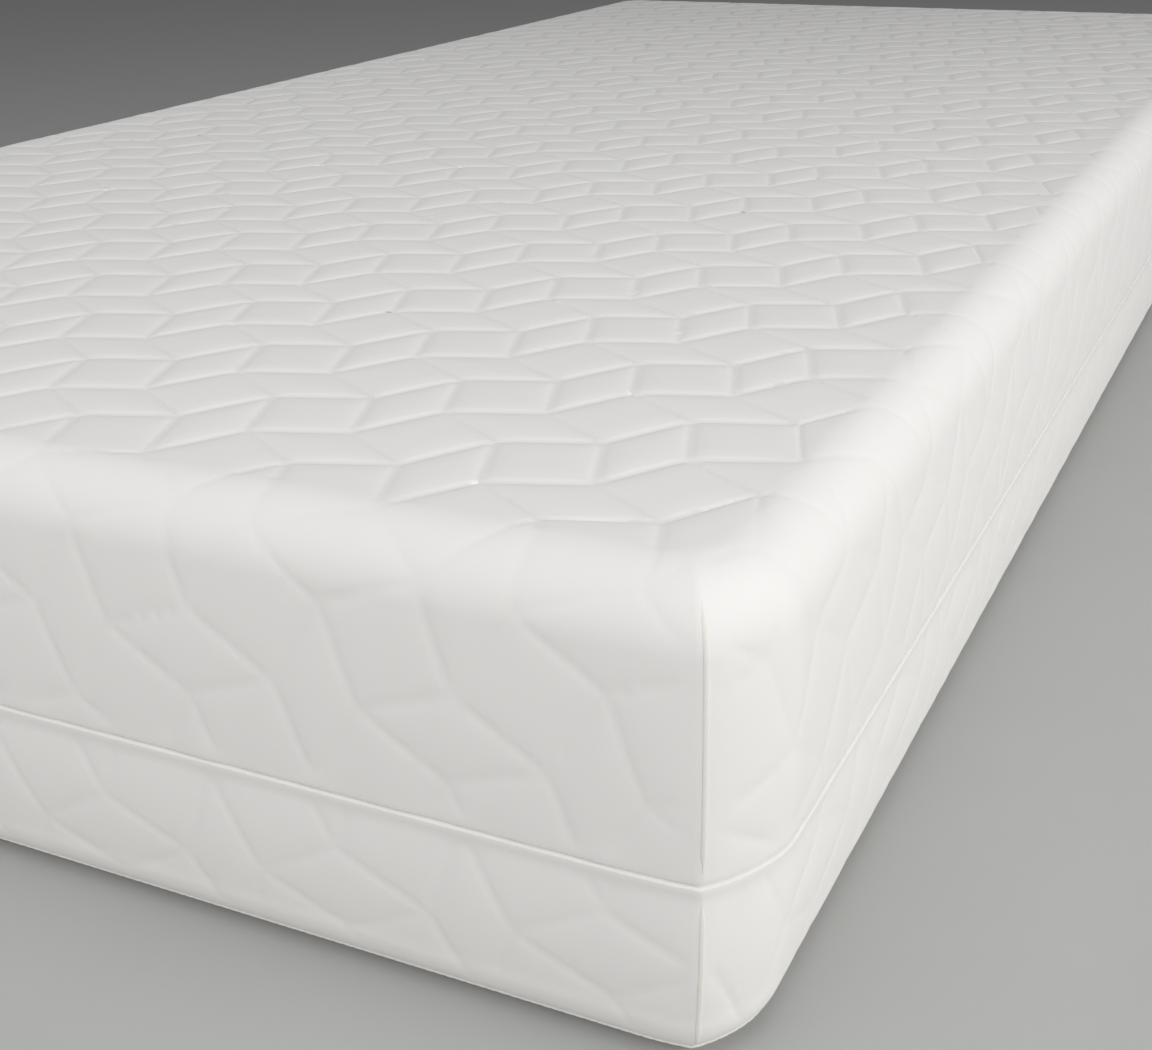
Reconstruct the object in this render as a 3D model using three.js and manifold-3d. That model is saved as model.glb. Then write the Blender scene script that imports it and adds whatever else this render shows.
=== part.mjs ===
// Pressure relief mattress, 900 x 1900 x 210 mm, with a zipped two-part quilted cover over layered foam.
// Millimetres, +Z up, +Y towards the head end. The origin is the centre of the underside.
import * as THREE from 'three';
import { mergeVertices } from 'three/addons/utils/BufferGeometryUtils.js';
import Module from 'manifold-3d';

const wasm = await Module();
wasm.setup();

// Overall size
const WIDTH = 900;
const LENGTH = 1900;
const HEIGHT = 210;
const CORNER_RADIUS = 48;
const TOP_RADIUS = 30;
const BOTTOM_RADIUS = 24;
const GAP = 0.3;

// Corner rounding: facets in a full turn, so that the middle of a facet lies at every 15 degrees
const TURN_STEPS = 24;
const EDGE_STEPS = 4;

// Cover
const COVER_THICKNESS = 6;
const LOWER_INSET = 1;
const ZIP_HEIGHT = 90;
const HEM_GAP = 4;
const GROOVE_HALF_HEIGHT = 13;
const GROOVE_DEPTH = 5.5;

// Zip
const TAPE_THICKNESS = 0.8;
const TAPE_FACE_INSET = 7.4;
const TAPE_WIDTH = 22;
const COIL_INSET = 10;
const COIL_DEPTH = 2.2;
const COIL_HEIGHT = 2.2;
const COIL_GAP = 1.8;
const STOP_LENGTH = 4;
const STOP_Y = 868;
const SLIDER_Y = 850;
const SLIDER_LENGTH = 12;
const SLIDER_HEIGHT = 8;
const SLIDER_PLATE = 1;
const SLIDER_POST = 1;
const NECK_LENGTH = 3;
const NECK_HEIGHT = 2;
const CROWN_INSET = 1;
const PIN_INSET = 1.6;
const PIN_RADIUS = 0.5;
const PIN_LENGTH = 5;
const PULL_THICKNESS = 1;
const PULL_HEIGHT = 6;
const PULL_LENGTH = 30;
const PULL_HOLE_RADIUS = 0.62;
const PULL_ARM = 4;

// Sewn trim
const SEAM_ANGLE = 60;
const SEAM_WIDTH = 3;
const SEAM_THICKNESS = 1.1;
const SEAM_END_CLEARANCE = 14;
const BASE_SEAM_RADIUS = 1.5;
const BASE_SEAM_HEIGHT = 8;
const LABEL_WIDTH = 70;
const LABEL_HEIGHT = 34;
const LABEL_THICKNESS = 0.5;
const LABEL_Z = 42;
const LABEL_X = 180;

// Sleeve and foam
const SLEEVE_INSET = 13;
const SLEEVE_THICKNESS = 1;
const SLEEVE_CLEARANCE = 0.6;
const SLEEVE_RADIUS = 20;
const SLEEVE_MOUTH_WIDTH = 760;
const SLEEVE_MOUTH_HEIGHT = 150;
const FOAM_INSET = 15;
const FOAM_RADIUS = 18;
const BASE_FOAM_HEIGHT = 44;
const CORE_HEIGHT = 84;
const BOLSTER_WIDTH = 78;
const SLOT_WIDTH = 6;
const SLOT_DEPTH = 34;
const SLOTS_ACROSS = 6;
const SLOTS_ALONG = 13;
const ZONE_SLOT_WIDTH = 8;
const ZONE_SLOT_DEPTH = 30;
const ZONE_SLOT_PITCH = 70;
const ZONE_SLOTS = 9;

const radians = THREE.MathUtils.degToRad;

// ---- Solids -------------------------------------------------------------------------------------

/** Turns a closed geometry into a solid that can be joined and cut. */
function solid(geometry) {
  const bare = geometry.index ? geometry.toNonIndexed() : geometry.clone();
  bare.deleteAttribute('normal');
  bare.deleteAttribute('uv');
  const merged = mergeVertices(bare, 1e-4);
  const vertProperties = new Float32Array(merged.attributes.position.array);
  const triVerts = new Uint32Array(merged.index.array);
  return new wasm.Manifold(new wasm.Mesh({ numProp: 3, vertProperties, triVerts }));
}

/** Turns a joined or cut solid back into a geometry. */
function geometryOf(body) {
  const mesh = body.getMesh();
  const geometry = new THREE.BufferGeometry();
  geometry.setAttribute('position', new THREE.BufferAttribute(new Float32Array(mesh.vertProperties), 3));
  geometry.setIndex(new THREE.BufferAttribute(new Uint32Array(mesh.triVerts), 1));
  return geometry;
}

/** A box from its lowest to its highest corner. */
function boxBetween(low, high) {
  const size = high.map((value, i) => value - low[i]);
  const geometry = new THREE.BoxGeometry(...size);
  return geometry.translate(...low.map((value, i) => value + size[i] / 2));
}

/** The plan outline at a distance inside the outer one: flat sides, and facets that touch each corner arc. */
function outline(inset) {
  const step = 360 / TURN_STEPS;
  const reach = (CORNER_RADIUS - inset) / Math.cos(radians(step / 2));
  const points = [];
  for (let i = 0; i < TURN_STEPS; i += 1) {
    const angle = radians((i + 0.5) * step);
    const x = reach * Math.cos(angle) + Math.sign(Math.cos(angle)) * (WIDTH / 2 - CORNER_RADIUS);
    const y = reach * Math.sin(angle) + Math.sign(Math.sin(angle)) * (LENGTH / 2 - CORNER_RADIUS);
    points.push(new THREE.Vector2(x, y));
  }
  return points;
}

/** A block with rounded vertical corners and rounded upper and lower edges. */
function roundedBlock(inset, low, high, edgeRadius) {
  const geometry = new THREE.ExtrudeGeometry(new THREE.Shape(outline(inset + edgeRadius)), {
    depth: high - low - 2 * edgeRadius,
    bevelEnabled: true,
    bevelSize: edgeRadius,
    bevelThickness: edgeRadius,
    bevelSegments: EDGE_STEPS,
  });
  return geometry.translate(0, 0, low + edgeRadius);
}

/** A closed section of [inset, height] pairs carried round the plan: a turned ring with its quarters pulled apart. */
function ringOf(section) {
  const step = 360 / TURN_STEPS;
  const stretch = 1 / Math.cos(radians(step / 2));
  const profile = section.map(([inset, z]) => new THREE.Vector2((CORNER_RADIUS - inset) * stretch, z));
  if (THREE.ShapeUtils.isClockWise(profile)) profile.reverse();
  profile.push(profile[0].clone());
  const geometry = new THREE.LatheGeometry(profile, TURN_STEPS, radians(step / 2));
  geometry.rotateX(Math.PI / 2);
  const position = geometry.attributes.position;
  for (let i = 0; i < position.count; i += 1) {
    const x = position.getX(i) + Math.sign(position.getX(i)) * (WIDTH / 2 - CORNER_RADIUS);
    const y = position.getY(i) + Math.sign(position.getY(i)) * (LENGTH / 2 - CORNER_RADIUS);
    position.setXY(i, x, y);
  }
  return geometry;
}

/** A ring with a many-sided round section. */
function roundRing(inset, height, halfDepth, halfHeight, sides) {
  const section = [];
  for (let i = 0; i < sides; i += 1) {
    const angle = (i + 0.5) * 2 * Math.PI / sides;
    section.push([inset - halfDepth * Math.cos(angle), height + halfHeight * Math.sin(angle)]);
  }
  return ringOf(section);
}

// ---- Materials ----------------------------------------------------------------------------------

const finish = (color, roughness, metalness = 0) => ({ color, roughness, metalness });
const QUILTED_KNIT = finish(0xe6e3dd, 0.9);
const SEWN_TRIM = finish(0xeceae4, 0.85);
const ZIP_TAPE = finish(0xdedad2, 0.85);
const ZIP_COIL = finish(0xd8d5cd, 0.5);
const ZIP_METAL = finish(0xb9bbbd, 0.35, 0.9);
const BARRIER_KNIT = finish(0xf1efe8, 0.95);
const MEMORY_FOAM = finish(0xe9dfb8, 0.95);
const CORE_FOAM = finish(0xbcd3e0, 0.95);
const FIRM_FOAM = finish(0xa9aeb6, 0.95);
const LABEL_SATIN = finish(0xf5f5f2, 0.6);

const mattress = new THREE.Group();

/** Adds one named piece to the mattress. */
function addPiece(name, geometry, look) {
  const mesh = new THREE.Mesh(geometry, new THREE.MeshStandardMaterial(look));
  mesh.name = name;
  mattress.add(mesh);
}

// ---- Quilted cover ------------------------------------------------------------------------------

/** The V-shaped groove that the two covers form where they are drawn in to the zip. */
function zipGroove() {
  const outside = -2;
  const spread = GROOVE_HALF_HEIGHT * (1 - outside / GROOVE_DEPTH);
  return solid(ringOf([
    [outside, ZIP_HEIGHT - spread],
    [outside, ZIP_HEIGHT + spread],
    [GROOVE_DEPTH, ZIP_HEIGHT],
  ]));
}

/** The sleeping surface and its four skirts, open at the bottom. */
function topCover() {
  const hem = ZIP_HEIGHT + HEM_GAP / 2;
  const outer = solid(roundedBlock(0, 0, HEIGHT, TOP_RADIUS));
  const hollow = solid(roundedBlock(COVER_THICKNESS, 0, HEIGHT - COVER_THICKNESS, TOP_RADIUS - COVER_THICKNESS));
  const keep = solid(boxBetween([-WIDTH, -LENGTH, hem], [WIDTH, LENGTH, 2 * HEIGHT]));
  return outer.intersect(keep).subtract(hollow).subtract(zipGroove());
}

/** The lower border and the underside, open at the top. */
function baseCover() {
  const hem = ZIP_HEIGHT - HEM_GAP / 2;
  const hollowInset = LOWER_INSET + COVER_THICKNESS;
  const outer = solid(roundedBlock(LOWER_INSET, 0, HEIGHT, BOTTOM_RADIUS));
  const hollow = solid(roundedBlock(hollowInset, COVER_THICKNESS, HEIGHT, BOTTOM_RADIUS - COVER_THICKNESS));
  const keep = solid(boxBetween([-WIDTH, -LENGTH, -HEIGHT], [WIDTH, LENGTH, hem]));
  return outer.intersect(keep).subtract(hollow).subtract(zipGroove());
}

addPiece('top_cover', geometryOf(topCover()), QUILTED_KNIT);
addPiece('base_cover', geometryOf(baseCover()), QUILTED_KNIT);

// ---- Zip ----------------------------------------------------------------------------------------

/** One tape: flat against the inside of its cover, then bent in to carry its coil. side is 1 above, -1 below. */
function zipTape(side) {
  const coilEdge = COIL_GAP / 2 + COIL_HEIGHT + GAP;
  const inner = COIL_INSET + TAPE_THICKNESS / 2;
  const outer = COIL_INSET - TAPE_THICKNESS / 2;
  const section = [
    [inner, coilEdge],
    [inner, coilEdge + 1.6],
    [TAPE_FACE_INSET + TAPE_THICKNESS, coilEdge + 5],
    [TAPE_FACE_INSET + TAPE_THICKNESS, TAPE_WIDTH],
    [TAPE_FACE_INSET, TAPE_WIDTH],
    [TAPE_FACE_INSET, coilEdge + 4.6],
    [outer, coilEdge + 1.2],
    [outer, coilEdge],
  ].map(([inset, away]) => [inset, ZIP_HEIGHT + side * away]);
  return ringOf(section);
}

/** One row of zip coil, as a ring of eight-sided section. */
function zipCoil(side) {
  const height = ZIP_HEIGHT + side * (COIL_GAP + COIL_HEIGHT) / 2;
  return roundRing(COIL_INSET, height, COIL_DEPTH / 2, COIL_HEIGHT / 2, 8);
}

/** A crimped stop that wraps one coil from its free side. */
function zipStop(side) {
  const near = COIL_GAP / 2 - GAP - 0.4;
  const far = COIL_GAP / 2 + COIL_HEIGHT;
  const inner = COIL_DEPTH / 2 + GAP;
  const outline2d = [
    [-inner - 0.6, near], [inner + 0.6, near], [inner + 0.6, far], [inner, far],
    [inner, near + 0.4], [-inner, near + 0.4], [-inner, far], [-inner - 0.6, far],
  ];
  const shape = new THREE.Shape(outline2d.map(([across, away]) => new THREE.Vector2(across, side * away)));
  const clip = new THREE.ExtrudeGeometry(shape, { depth: STOP_LENGTH, bevelEnabled: false });
  clip.rotateX(Math.PI / 2);
  return clip.translate(COIL_INSET - WIDTH / 2, STOP_Y + STOP_LENGTH, ZIP_HEIGHT);
}

/** The slider: a plate each side of the coils, a post between them, and a crown that stands in the groove. */
function zipSlider() {
  const side = -WIDTH / 2;
  const coilFront = COIL_INSET - COIL_DEPTH / 2 - 0.5;
  const coilBack = COIL_INSET + COIL_DEPTH / 2 + 0.5;
  const block = (from, to, length, height) => solid(boxBetween(
    [side + from, SLIDER_Y - length / 2, ZIP_HEIGHT - height / 2],
    [side + to, SLIDER_Y + length / 2, ZIP_HEIGHT + height / 2],
  ));
  const pin = new THREE.CylinderGeometry(PIN_RADIUS, PIN_RADIUS, PIN_LENGTH, 12);
  pin.rotateX(Math.PI / 2);
  pin.translate(side + PIN_INSET, SLIDER_Y, ZIP_HEIGHT);
  return block(coilFront - SLIDER_PLATE, coilFront, SLIDER_LENGTH, SLIDER_HEIGHT)
    .add(block(coilBack, coilBack + SLIDER_PLATE, SLIDER_LENGTH, SLIDER_HEIGHT))
    .add(block(coilFront, coilBack, SLIDER_POST * 3, SLIDER_POST))
    .add(block(CROWN_INSET, coilFront - SLIDER_PLATE, NECK_LENGTH, NECK_HEIGHT))
    .add(solid(pin));
}

/** The pull tab: a fork round the slider's pin, widening into a flat tab that lies along the groove. */
function zipPullTab() {
  const length = PULL_LENGTH;
  const plate = new THREE.Shape();
  plate.moveTo(-PULL_THICKNESS / 2, PULL_ARM);
  plate.lineTo(PULL_THICKNESS / 2, PULL_ARM);
  plate.lineTo(PULL_THICKNESS / 2, length);
  plate.lineTo(-PULL_THICKNESS / 2, length);
  const tab = solid(new THREE.ExtrudeGeometry(plate, { depth: PULL_HEIGHT, bevelEnabled: false })
    .translate(0, 0, -PULL_HEIGHT / 2));
  const armHeight = 1;
  const armInner = NECK_HEIGHT / 2 + GAP;
  let pull = tab;
  for (const side of [-1, 1]) {
    const arm = new THREE.Shape();
    arm.moveTo(PULL_THICKNESS / 2, 0);
    arm.lineTo(PULL_THICKNESS / 2, PULL_ARM + 1);
    arm.lineTo(-PULL_THICKNESS / 2, PULL_ARM + 1);
    arm.lineTo(-PULL_THICKNESS / 2, 0);
    const eye = new THREE.CylinderGeometry(1, 1, armHeight, 16).rotateX(Math.PI / 2);
    const middle = side * (armInner + armHeight / 2);
    const bar = new THREE.ExtrudeGeometry(arm, { depth: armHeight, bevelEnabled: false });
    pull = pull.add(solid(bar.translate(0, 0, middle - armHeight / 2)));
    pull = pull.add(solid(eye.translate(0, 0, middle)));
  }
  const hole = new THREE.CylinderGeometry(PULL_HOLE_RADIUS, PULL_HOLE_RADIUS, 2 * PULL_HEIGHT, 16);
  return geometryOf(pull.subtract(solid(hole.rotateX(Math.PI / 2))))
    .rotateZ(Math.PI)
    .translate(PIN_INSET - WIDTH / 2, SLIDER_Y, ZIP_HEIGHT);
}

for (const [side, word] of [[1, 'upper'], [-1, 'lower']]) {
  addPiece(`zip_tape_${word}`, zipTape(side), ZIP_TAPE);
  addPiece(`zip_coil_${word}`, zipCoil(side), ZIP_COIL);
  addPiece(`zip_stop_${word}`, zipStop(side), ZIP_METAL);
}
addPiece('zip_slider', geometryOf(zipSlider()), ZIP_METAL);
addPiece('zip_pull_tab', zipPullTab(), ZIP_METAL);

// ---- Sewn trim ----------------------------------------------------------------------------------

/**
 * A corner seam as a strip that stands on the corner facet and follows it over a rounded edge.
 * start and edgeCentre are heights, and sweep is how far round the edge it goes, in degrees.
 */
function cornerSeam(inset, start, edgeCentre, edgeRadius, sweep, upward) {
  const faceRadius = CORNER_RADIUS - inset;
  const centre = faceRadius - edgeRadius;
  const shape = new THREE.Shape();
  const inner = edgeRadius + GAP;
  const outer = inner + SEAM_THICKNESS;
  const end = upward * radians(sweep);
  shape.moveTo(centre + inner, start);
  shape.lineTo(centre + outer, start);
  shape.absarc(centre, edgeCentre, outer, 0, end, upward < 0);
  shape.lineTo(centre + inner * Math.cos(end), edgeCentre + inner * Math.sin(end));
  shape.absarc(centre, edgeCentre, inner, end, 0, upward > 0);
  const strip = new THREE.ExtrudeGeometry(shape, { depth: SEAM_WIDTH, bevelEnabled: false, curveSegments: 6 });
  return strip.translate(0, 0, -SEAM_WIDTH / 2).rotateX(Math.PI / 2);
}

const CORNERS = [
  ['foot_right', 1, -1],
  ['foot_left', -1, -1],
  ['head_right', 1, 1],
  ['head_left', -1, 1],
];
for (const [corner, sideX, sideY] of CORNERS) {
  const turn = Math.atan2(sideY * Math.sin(radians(SEAM_ANGLE)), sideX * Math.cos(radians(SEAM_ANGLE)));
  const centreX = sideX * (WIDTH / 2 - CORNER_RADIUS);
  const centreY = sideY * (LENGTH / 2 - CORNER_RADIUS);
  const above = cornerSeam(0, ZIP_HEIGHT + SEAM_END_CLEARANCE, HEIGHT - TOP_RADIUS, TOP_RADIUS, 55, 1);
  const below = cornerSeam(LOWER_INSET, ZIP_HEIGHT - SEAM_END_CLEARANCE, BOTTOM_RADIUS, BOTTOM_RADIUS, 22, -1);
  addPiece(`corner_seam_upper_${corner}`, above.rotateZ(turn).translate(centreX, centreY, 0), SEWN_TRIM);
  addPiece(`corner_seam_lower_${corner}`, below.rotateZ(turn).translate(centreX, centreY, 0), SEWN_TRIM);
}

/** The rolled seam where the border meets the underside. */
function baseSeam() {
  const centreInset = LOWER_INSET + BOTTOM_RADIUS;
  const rise = BOTTOM_RADIUS - BASE_SEAM_HEIGHT;
  const slope = Math.asin(rise / BOTTOM_RADIUS);
  const reach = BOTTOM_RADIUS + BASE_SEAM_RADIUS + GAP;
  const inset = centreInset - reach * Math.cos(slope);
  return roundRing(inset, BOTTOM_RADIUS - reach * Math.sin(slope), BASE_SEAM_RADIUS, BASE_SEAM_RADIUS, 8);
}

addPiece('base_edge_seam', baseSeam(), SEWN_TRIM);

const labelFace = LENGTH / 2 - LOWER_INSET + GAP;
addPiece('care_label', boxBetween(
  [LABEL_X, labelFace, LABEL_Z - LABEL_HEIGHT / 2],
  [LABEL_X + LABEL_WIDTH, labelFace + LABEL_THICKNESS, LABEL_Z + LABEL_HEIGHT / 2],
), LABEL_SATIN);

// ---- Sleeve and foam ----------------------------------------------------------------------------

const sleeveLow = COVER_THICKNESS + SLEEVE_CLEARANCE;
const sleeveHigh = HEIGHT - COVER_THICKNESS - SLEEVE_CLEARANCE;
const foamLow = sleeveLow + SLEEVE_THICKNESS + SLEEVE_CLEARANCE;
const foamHigh = sleeveHigh - SLEEVE_THICKNESS - SLEEVE_CLEARANCE;
const coreLow = foamLow + BASE_FOAM_HEIGHT;
const coreHigh = coreLow + CORE_HEIGHT;
const halfWidth = WIDTH / 2 - FOAM_INSET;

/** The fire-barrier sleeve, a thin skin round the foam with its mouth at the head end. */
function sleeve() {
  const inset = SLEEVE_INSET + SLEEVE_THICKNESS;
  const innerRadius = SLEEVE_RADIUS - SLEEVE_THICKNESS;
  const skin = solid(roundedBlock(SLEEVE_INSET, sleeveLow, sleeveHigh, SLEEVE_RADIUS))
    .subtract(solid(roundedBlock(inset, sleeveLow + SLEEVE_THICKNESS, sleeveHigh - SLEEVE_THICKNESS, innerRadius)));
  const mouth = boxBetween(
    [-SLEEVE_MOUTH_WIDTH / 2, LENGTH / 2 - 2 * SLEEVE_INSET, (HEIGHT - SLEEVE_MOUTH_HEIGHT) / 2],
    [SLEEVE_MOUTH_WIDTH / 2, LENGTH / 2, (HEIGHT + SLEEVE_MOUTH_HEIGHT) / 2],
  );
  return skin.subtract(solid(mouth));
}

/** One full-size layer of the foam block, cut from a block with rounded edges. */
function foamLayer(low, high) {
  const block = solid(roundedBlock(FOAM_INSET, foamLow, foamHigh, FOAM_RADIUS));
  return block.intersect(solid(boxBetween([-WIDTH, -LENGTH, low], [WIDTH, LENGTH, high])));
}

/** The topper, with crossing slots that let its cells sink on their own. */
function topperFoam() {
  const floor = foamHigh - SLOT_DEPTH;
  const cuts = [];
  for (let i = 1; i <= SLOTS_ACROSS; i += 1) {
    const x = -halfWidth + i * 2 * halfWidth / (SLOTS_ACROSS + 1);
    cuts.push([[x - SLOT_WIDTH / 2, -LENGTH, floor], [x + SLOT_WIDTH / 2, LENGTH, HEIGHT]]);
  }
  const halfLength = LENGTH / 2 - FOAM_INSET;
  for (let i = 1; i <= SLOTS_ALONG; i += 1) {
    const y = -halfLength + i * 2 * halfLength / (SLOTS_ALONG + 1);
    cuts.push([[-WIDTH, y - SLOT_WIDTH / 2, floor], [WIDTH, y + SLOT_WIDTH / 2, HEIGHT]]);
  }
  const whole = foamLayer(coreHigh + GAP, foamHigh);
  return cuts.reduce((body, [low, high]) => body.subtract(solid(boxBetween(low, high))), whole);
}

/** The core, with slots across its underside in the heel zone at the foot and the seat zone in the middle. */
function coreFoam() {
  const side = halfWidth - BOLSTER_WIDTH - GAP;
  const inner = solid(boxBetween([-side, -LENGTH, 0], [side, LENGTH, HEIGHT]));
  let core = foamLayer(coreLow + GAP, coreHigh).intersect(inner);
  const zones = [-LENGTH / 2 + 120, -ZONE_SLOT_PITCH * (ZONE_SLOTS - 1) / 4];
  for (const start of zones) {
    for (let i = 0; i < (ZONE_SLOTS + 1) / 2; i += 1) {
      const y = start + i * ZONE_SLOT_PITCH;
      core = core.subtract(solid(boxBetween(
        [-WIDTH, y, coreLow - 1],
        [WIDTH, y + ZONE_SLOT_WIDTH, coreLow + ZONE_SLOT_DEPTH],
      )));
    }
  }
  return core;
}

/** A firm side bolster. side is 1 on the right, -1 on the left. */
function bolster(side) {
  const edges = [side * (halfWidth - BOLSTER_WIDTH), side * WIDTH].sort((a, b) => a - b);
  const slice = solid(boxBetween([edges[0], -LENGTH, 0], [edges[1], LENGTH, HEIGHT]));
  return foamLayer(coreLow + GAP, coreHigh).intersect(slice);
}

addPiece('fire_barrier_sleeve', geometryOf(sleeve()), BARRIER_KNIT);
addPiece('topper_foam', geometryOf(topperFoam()), MEMORY_FOAM);
addPiece('core_foam', geometryOf(coreFoam()), CORE_FOAM);
addPiece('side_bolster_right', geometryOf(bolster(1)), FIRM_FOAM);
addPiece('side_bolster_left', geometryOf(bolster(-1)), FIRM_FOAM);
addPiece('base_foam', geometryOf(foamLayer(foamLow, coreLow)), FIRM_FOAM);

export default mattress;
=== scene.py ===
"""A pressure relief mattress: a quilted two-part cover, zipped all round, over a sleeve and layered foam."""

import logging
import math
from collections.abc import Callable
from dataclasses import dataclass, field

import bmesh
import bpy
import numpy as np
from mathutils import Matrix, Vector


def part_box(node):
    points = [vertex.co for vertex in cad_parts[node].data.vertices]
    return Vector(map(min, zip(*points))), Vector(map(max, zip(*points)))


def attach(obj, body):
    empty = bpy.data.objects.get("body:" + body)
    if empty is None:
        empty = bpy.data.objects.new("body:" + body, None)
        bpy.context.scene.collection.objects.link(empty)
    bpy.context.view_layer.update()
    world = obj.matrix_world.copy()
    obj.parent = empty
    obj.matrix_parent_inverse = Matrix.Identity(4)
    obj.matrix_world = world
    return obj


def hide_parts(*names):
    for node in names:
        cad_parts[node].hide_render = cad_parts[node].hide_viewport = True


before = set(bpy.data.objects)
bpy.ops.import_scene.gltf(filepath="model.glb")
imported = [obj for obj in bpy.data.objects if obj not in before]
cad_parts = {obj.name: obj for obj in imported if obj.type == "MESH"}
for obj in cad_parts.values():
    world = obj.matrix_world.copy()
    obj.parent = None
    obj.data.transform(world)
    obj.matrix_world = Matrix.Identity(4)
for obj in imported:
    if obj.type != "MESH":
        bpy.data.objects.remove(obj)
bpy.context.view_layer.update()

log = logging.getLogger("mattress")
TAU = 2 * math.pi
MM = 0.001
UP = np.array([0, 0, 1.0])
CORNER_RADIUS = 48 * MM
SEAM_DEGREES = 30.0


# ---- Meshes -------------------------------------------------------------------------------------


class Patchwork:
    """Gathers grids of points and the triangles between them, and makes one mesh of them."""

    def __init__(self) -> None:
        """Starts with no points."""
        self.points: list[np.ndarray] = []
        self.fabric: list[np.ndarray] = []
        self.triangles: list[np.ndarray] = []
        self.count = 0

    def add(self, points: np.ndarray, fabric: np.ndarray | None = None) -> np.ndarray:
        """Adds an array of points.

        Args:
            points: an array whose last axis holds X, Y and Z in metres.
            fabric: where each point lies on the flat cloth, in metres.
        Returns:
            The points' numbers, in the same shape as the array.
        """
        shape = points.shape[:-1]
        total = int(np.prod(shape))
        flat = np.zeros((total, 2)) if fabric is None else np.asarray(fabric).reshape(total, 2)
        self.points.append(points.reshape(total, 3))
        self.fabric.append(flat)
        ids = np.arange(self.count, self.count + total).reshape(shape)
        self.count += total
        return ids

    def grid(self, ids: np.ndarray, wrap: bool = False, depth: np.ndarray | None = None,
             flat: np.ndarray | None = None) -> None:
        """Joins a grid of point numbers with two triangles a cell, which face rows x columns.

        Args:
            ids: rows of point numbers.
            wrap: whether the last column joins the first.
            depth: a height for each point; each cell is split along the diagonal that is lower and more
                level, so creases stay sharp.
            flat: each point's place on the flat cloth; no cell is split so that half of it turns over.
        """
        if wrap:
            ids = np.concatenate([ids, ids[:, :1]], axis=1)
            depth = None if depth is None else np.concatenate([depth, depth[:, :1]], axis=1)
            flat = None if flat is None else np.concatenate([flat, flat[:, :1]], axis=1)
        a, b, c, d = ids[:-1, :-1], ids[1:, :-1], ids[1:, 1:], ids[:-1, 1:]
        first = np.stack([a, b, c, a, c, d], axis=-1)
        if depth is not None:
            straight = (depth[:-1, :-1] + depth[1:, 1:]) / 2 + abs(depth[:-1, :-1] - depth[1:, 1:])
            across = (depth[1:, :-1] + depth[:-1, 1:]) / 2 + abs(depth[1:, :-1] - depth[:-1, 1:])
            second = np.stack([a, b, d, b, c, d], axis=-1)
            turned = across < straight
            if flat is not None:
                turns = corner_turns(flat)
                turns = turns * np.sign(np.median(turns))
                whole, other = np.minimum(turns[1], turns[3]), np.minimum(turns[0], turns[2])
                turned = np.where(turned, (other > 0) | (whole <= 0), (whole <= 0) & (other > 0))
            first = np.where(turned[..., None], second, first)
        self.triangles.append(first.reshape(-1, 3))

    def halve(self, fine: np.ndarray, coarse: np.ndarray) -> None:
        """Joins a closed row of points above to one of half as many below."""
        a, b, c = fine[::2], fine[1::2], np.roll(fine[::2], -1)
        low, far = coarse, np.roll(coarse, -1)
        cells = np.stack([a, low, b, b, low, far, b, far, c], axis=-1)
        self.triangles.append(cells.reshape(-1, 3))

    def fan(self, ring: np.ndarray, centre: int) -> None:
        """Closes a ring of points with triangles to one point."""
        cells = np.stack([ring, np.roll(ring, -1), np.full_like(ring, centre)], axis=-1)
        self.triangles.append(cells)

    def tube(self, rings: np.ndarray, closed: bool = False) -> None:
        """Joins closed rows of points into a tube: a hoop if closed, otherwise with shut ends."""
        around = np.linalg.norm(np.diff(rings, axis=1, append=rings[:, :1]), axis=2)
        onward = np.linalg.norm(np.diff(rings[:, 0], axis=0, prepend=rings[:1, 0]), axis=1)
        fabric = np.stack(np.broadcast_arrays(np.cumsum(onward)[:, None], np.cumsum(around, axis=1)), axis=-1)
        ids = self.add(rings, fabric)
        if closed:
            self.grid(np.concatenate([ids, ids[:1]]), wrap=True)
            return
        self.grid(ids, wrap=True)
        ends = self.add(rings[[0, -1]].mean(axis=1))
        self.fan(ids[0], int(ends[0]))
        self.fan(ids[-1][::-1], int(ends[1]))

    def turn_over(self, middle: float) -> None:
        """Mirrors everything so far about a height, and turns its faces to suit."""
        self.points = [np.stack([p[:, 0], p[:, 1], 2 * middle - p[:, 2]], axis=-1) for p in self.points]
        self.triangles = [t[:, ::-1] for t in self.triangles]

    def build(self, name: str, smooth: bool = True) -> bpy.types.Object:
        """Makes the Blender object, with the cloth's own coordinates as its UV map."""
        used, numbers = np.unique(np.concatenate(self.triangles), return_inverse=True)
        points = np.concatenate(self.points).astype(np.float32)[used]
        fabric = np.concatenate(self.fabric).astype(np.float32)[used]
        triangles = numbers.reshape(-1, 3).astype(np.int32)
        mesh = bpy.data.meshes.new(name)
        mesh.vertices.add(len(points))
        mesh.vertices.foreach_set("co", points.ravel())
        mesh.loops.add(triangles.size)
        mesh.loops.foreach_set("vertex_index", triangles.ravel())
        mesh.polygons.add(len(triangles))
        mesh.polygons.foreach_set("loop_start", np.arange(0, triangles.size, 3, dtype=np.int32))
        mesh.polygons.foreach_set("use_smooth", np.full(len(triangles), smooth))
        layer = mesh.uv_layers.new(name="cloth")
        layer.data.foreach_set("uv", fabric[triangles.ravel()].ravel())
        mesh.update(calc_edges=True)
        mesh.validate()
        piece = bpy.data.objects.new(name, mesh)
        bpy.context.scene.collection.objects.link(piece)
        return piece


def corner_turns(at: np.ndarray) -> np.ndarray:
    """Twice the signed area of the triangle at each corner of every cell of a grid of flat places."""
    ring = [at[:-1, :-1], at[1:, :-1], at[1:, 1:], at[:-1, 1:]]
    sides = [ring[(i + 1) % 4] - ring[i] for i in range(4)]
    return np.stack([sides[i - 1][..., 0] * sides[i][..., 1] - sides[i - 1][..., 1] * sides[i][..., 0]
                     for i in range(4)])


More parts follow.
